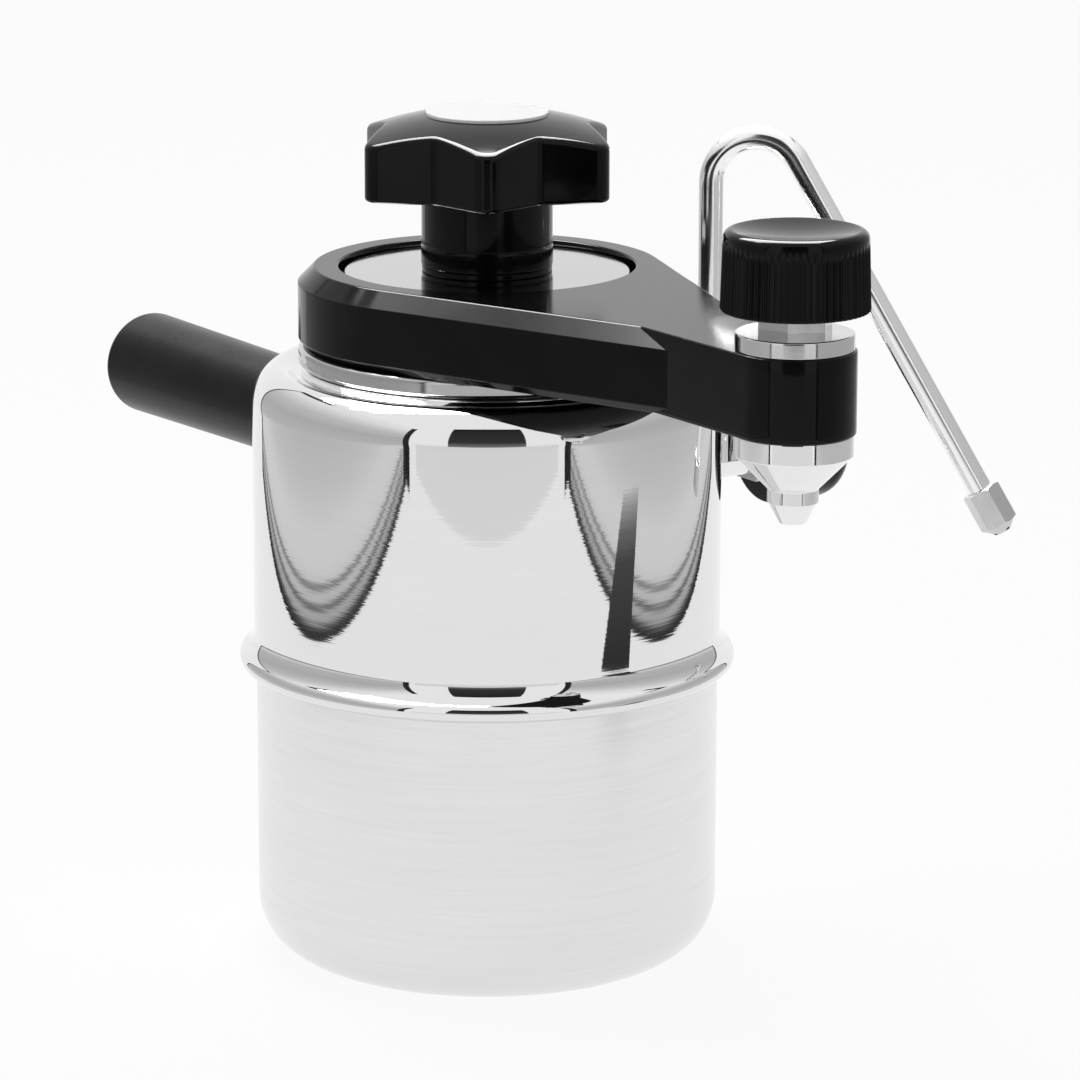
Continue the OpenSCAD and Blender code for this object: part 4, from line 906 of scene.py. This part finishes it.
disc_low, disc_top = dome(DISC_R, 0) - DISC_SINK, dome(DISC_R, 0) + DISC_RISE
disc_corners = [(0, disc_low, 0), (DISC_R, disc_low, 0.1), (DISC_R, disc_top, 0.35), (0, disc_top, 0)]
piece("star_knob_disc", [spun(rounded(disc_corners, False), KNOB_SIDES, False)], pale_disc, "knob_disc")

# %% [markdown]
# ## The coffee tap
# The tap's chromed body goes through the arm: a flange above, a nozzle below. The knob on its spindle tapers a
# little, has fine ribs for wet fingers, a rounded top edge and a dished top. The ribs are real geometry: the radius of
# each loop goes in and out with the angle, and the depth fades out under the rounded edge.

# %% Tap body and nozzle
TAP_SIDES = 128
tap_place = axis_place(ARM_REACH, 0, 0, (0, 0, 1))
body_corners = [
    (2.6, 151.5, 0), (2.6, 155, 0), (5, 155, 0), (5, 170.4, 0), (5.5, 170.4, 0), (5.5, 177.8, 0.2),
    (13.7, 177.8, 0.45), (13.7, 173.9, 0.3), (9.5, 173.9, 0), (9.5, 151.5, 0),
]
nozzle_corners = [
    (9.5, 154.4, 0), (13.8, 154.4, 0.3), (13.8, 149.5, 0.35), (5.9, 141.5, 0.3), (5.9, 138.2, 0.25),
    (5.6, 138.2, 0), (3.1, 133.4, 0.35), (1.9, 133.4, 0.2), (1.9, 151.5, 0), (9.5, 151.5, 0),
]
piece("tap_body_turned", [spun(rounded(body_corners), TAP_SIDES)], brushed_chrome, "tap_body", tap_place)
piece("nozzle_turned", [spun(rounded(nozzle_corners), TAP_SIDES)], chrome, "coffee_nozzle", tap_place)

# %% Ribbed knob
KNOB_LOW, KNOB_H, KNOB_R, KNOB_TOP_R, KNOB_SOFT, KNOB_DISH, KNOB_FLAT = 182.8, 18.6, 17.2, 16.6, 2.0, 1.6, 4
RIBS, RIB_DEPTH, RIB_SAMPLES, RIB_SHARPNESS = 64, 0.42, 10, 0.7
RIB_FADE, FOOT_FADE, FOOT_DEPTH, FADE_LOOPS = 3.2, 0.5, 0.15, 8
DISH_SHARES = (0.99, 0.9, 0.75, 0.55, 0.35, 0.15, 0.02)
ribs_end = KNOB_H - 1.1 * KNOB_SOFT
knob_corners = [
    (KNOB_FLAT, 0, 0), (KNOB_R, 0, 0.5), (KNOB_TOP_R, KNOB_H, KNOB_SOFT), (KNOB_TOP_R - KNOB_FLAT, KNOB_H, 0),
]
edges = [tuple(p) for p in rounded(knob_corners, False)[1:-2]]
fading = np.linspace(ribs_end - RIB_FADE, ribs_end, FADE_LOOPS)
wall = [(KNOB_R - (KNOB_R - KNOB_TOP_R) * z / KNOB_H, z) for z in fading]
turns = [2 * math.pi * k / (RIBS * RIB_SAMPLES) for k in range(RIBS * RIB_SAMPLES)]
waves = [(0.5 - 0.5 * math.cos(RIBS * t)) ** RIB_SHARPNESS for t in turns]
knob_loops = []
for r, z in sorted(edges + wall, key=lambda p: (p[1], -p[0])):
    run_out = max(0.0, min(1.0, (ribs_end - z) / RIB_FADE))
    fade = run_out ** 2 * (3 - 2 * run_out) * min(1.0, (z + FOOT_DEPTH) / FOOT_FADE)
    reaches = [r - RIB_DEPTH * fade * wave for wave in waves]
    knob_loops.append([(reach * math.cos(t), reach * math.sin(t), KNOB_LOW + z) for reach, t in zip(reaches, turns)])
for share in DISH_SHARES:
    z = KNOB_H - KNOB_DISH * (1 - share ** 2)
    knob_loops.append(circle((KNOB_TOP_R - KNOB_SOFT) * share, KNOB_LOW + z, RIBS * RIB_SAMPLES))
piece("tap_knob_moulding", [capped(knob_loops)], black_moulding, "tap_knob", tap_place)

# %% [markdown]
# ## Steam knob, wand and grip
# The steam knob and the grip are turned shapes along other axes. The wand is a tube: it rises out of its socket, bends
# over in a tight arc and runs down to the tip. A swept curve object would do, but rings placed along the path give
# full control of the wall and keep the bend exactly where the CAD solid has it.

# %% Steam knob
STEAM_Z, STEAM_R, STEAM_BORE, HAND_SIDES = 116.5, 13.8, 2.2, 140
STEAM_NEAR, STEAM_FAR, STEAM_DEPTH = 85.5, 105.5, 97.5
steam_corners = [
    (STEAM_BORE, STEAM_NEAR, 0), (STEAM_R, STEAM_NEAR, 0.7), (STEAM_R, STEAM_FAR, 6.0), (0, STEAM_FAR, 0),
    (0, STEAM_DEPTH, 0), (STEAM_BORE, STEAM_DEPTH, 0),
]
steam_place = axis_place(0, 0, STEAM_Z, (0, 1, 0))
piece("steam_knob_moulding", [spun(rounded(steam_corners), HAND_SIDES)], black_moulding, "steam_knob", steam_place)

# %% Wand tube
WAND_R, WAND_BORE, WAND_Y, WAND_FOOT, WAND_TURN = 3.15, 2.35, 67.9, 121.25, math.radians(45)
BEND_R, BEND_Z, LEAN, LEG, BEND_SUPPORT = 11.8, 187.6, math.radians(30), 100.92, 0.3
TUBE_SIDES, BEND_STEPS = 48, 72
sweep = math.pi - LEAN
path = [(0.0, WAND_FOOT, 0.0), (0.0, BEND_Z - BEND_SUPPORT, 0.0)]
for i in range(BEND_STEPS + 1):
    bent = sweep * i / BEND_STEPS
    path.append((BEND_R * (1 - math.cos(bent)), BEND_Z + BEND_R * math.sin(bent), bent))
leg_out, leg_z, _ = path[-1]
path += [(leg_out + run * math.sin(sweep), leg_z + run * math.cos(sweep), sweep) for run in (BEND_SUPPORT, LEG)]


def tube_ring(radius, out, z, turn):
    """A ring of the tube, square to the path where it has turned so far."""
    ring = circle(radius, 0.0, TUBE_SIDES)
    return [(out + x * math.cos(turn), y, z - x * math.sin(turn)) for x, y, _ in ring]


tube = [tube_ring(WAND_R, *at) for at in path] + [tube_ring(WAND_BORE, *at) for at in reversed(path)]
wand_place = Matrix.Translation((0, WAND_Y * MM, 0)) @ Matrix.Rotation(WAND_TURN, 4, "Z")
piece("wand_tube", [banded(tube + tube[:1])], tube_chrome, "steam_wand", wand_place)

# %% Grip
GRIP_Z, GRIP_BORE, GRIP_NEAR_R, GRIP_FAR_R, GRIP_NEAR, GRIP_FAR, GRIP_DEPTH = 121.2, 4, 12.3, 13.6, 70, 165.5, 121
grip_corners = [
    (GRIP_BORE, GRIP_NEAR, 0.3), (GRIP_NEAR_R, GRIP_NEAR, 0.8), (GRIP_FAR_R, GRIP_FAR, 2.5), (0, GRIP_FAR, 0),
    (0, GRIP_DEPTH, 0), (GRIP_BORE, GRIP_DEPTH, 0),
]
grip_place = axis_place(0, 0, GRIP_Z, (-1, 0, 0))
piece("handle_grip_moulding", [spun(rounded(grip_corners), HAND_SIDES)], black_grip, "handle_grip", grip_place)

# %% [markdown]
# ## The solids that stay
# Nuts, valve bodies, spindles, seals and everything inside are right as solids, so they only get a finish. The wand's
# tip is turned from hexagon bar and is less bright than the tube.

# %% Finishes for the remaining solids
def finish_of(name):
    if name == "wand_tip":
        return satin_chrome
    if name.endswith("_nut"):
        return nut_chrome
    return finish_for[slot_with[name]]


kept = [name for name, solid in frame["nodes"].items() if not solid.hide_render]
for name in kept:
    solid = frame["nodes"][name]
    solid.data.materials.clear()
    solid.data.materials.append(finish_of(name))
print(len(kept), "solids keep their shape:", ", ".join(sorted(kept)))
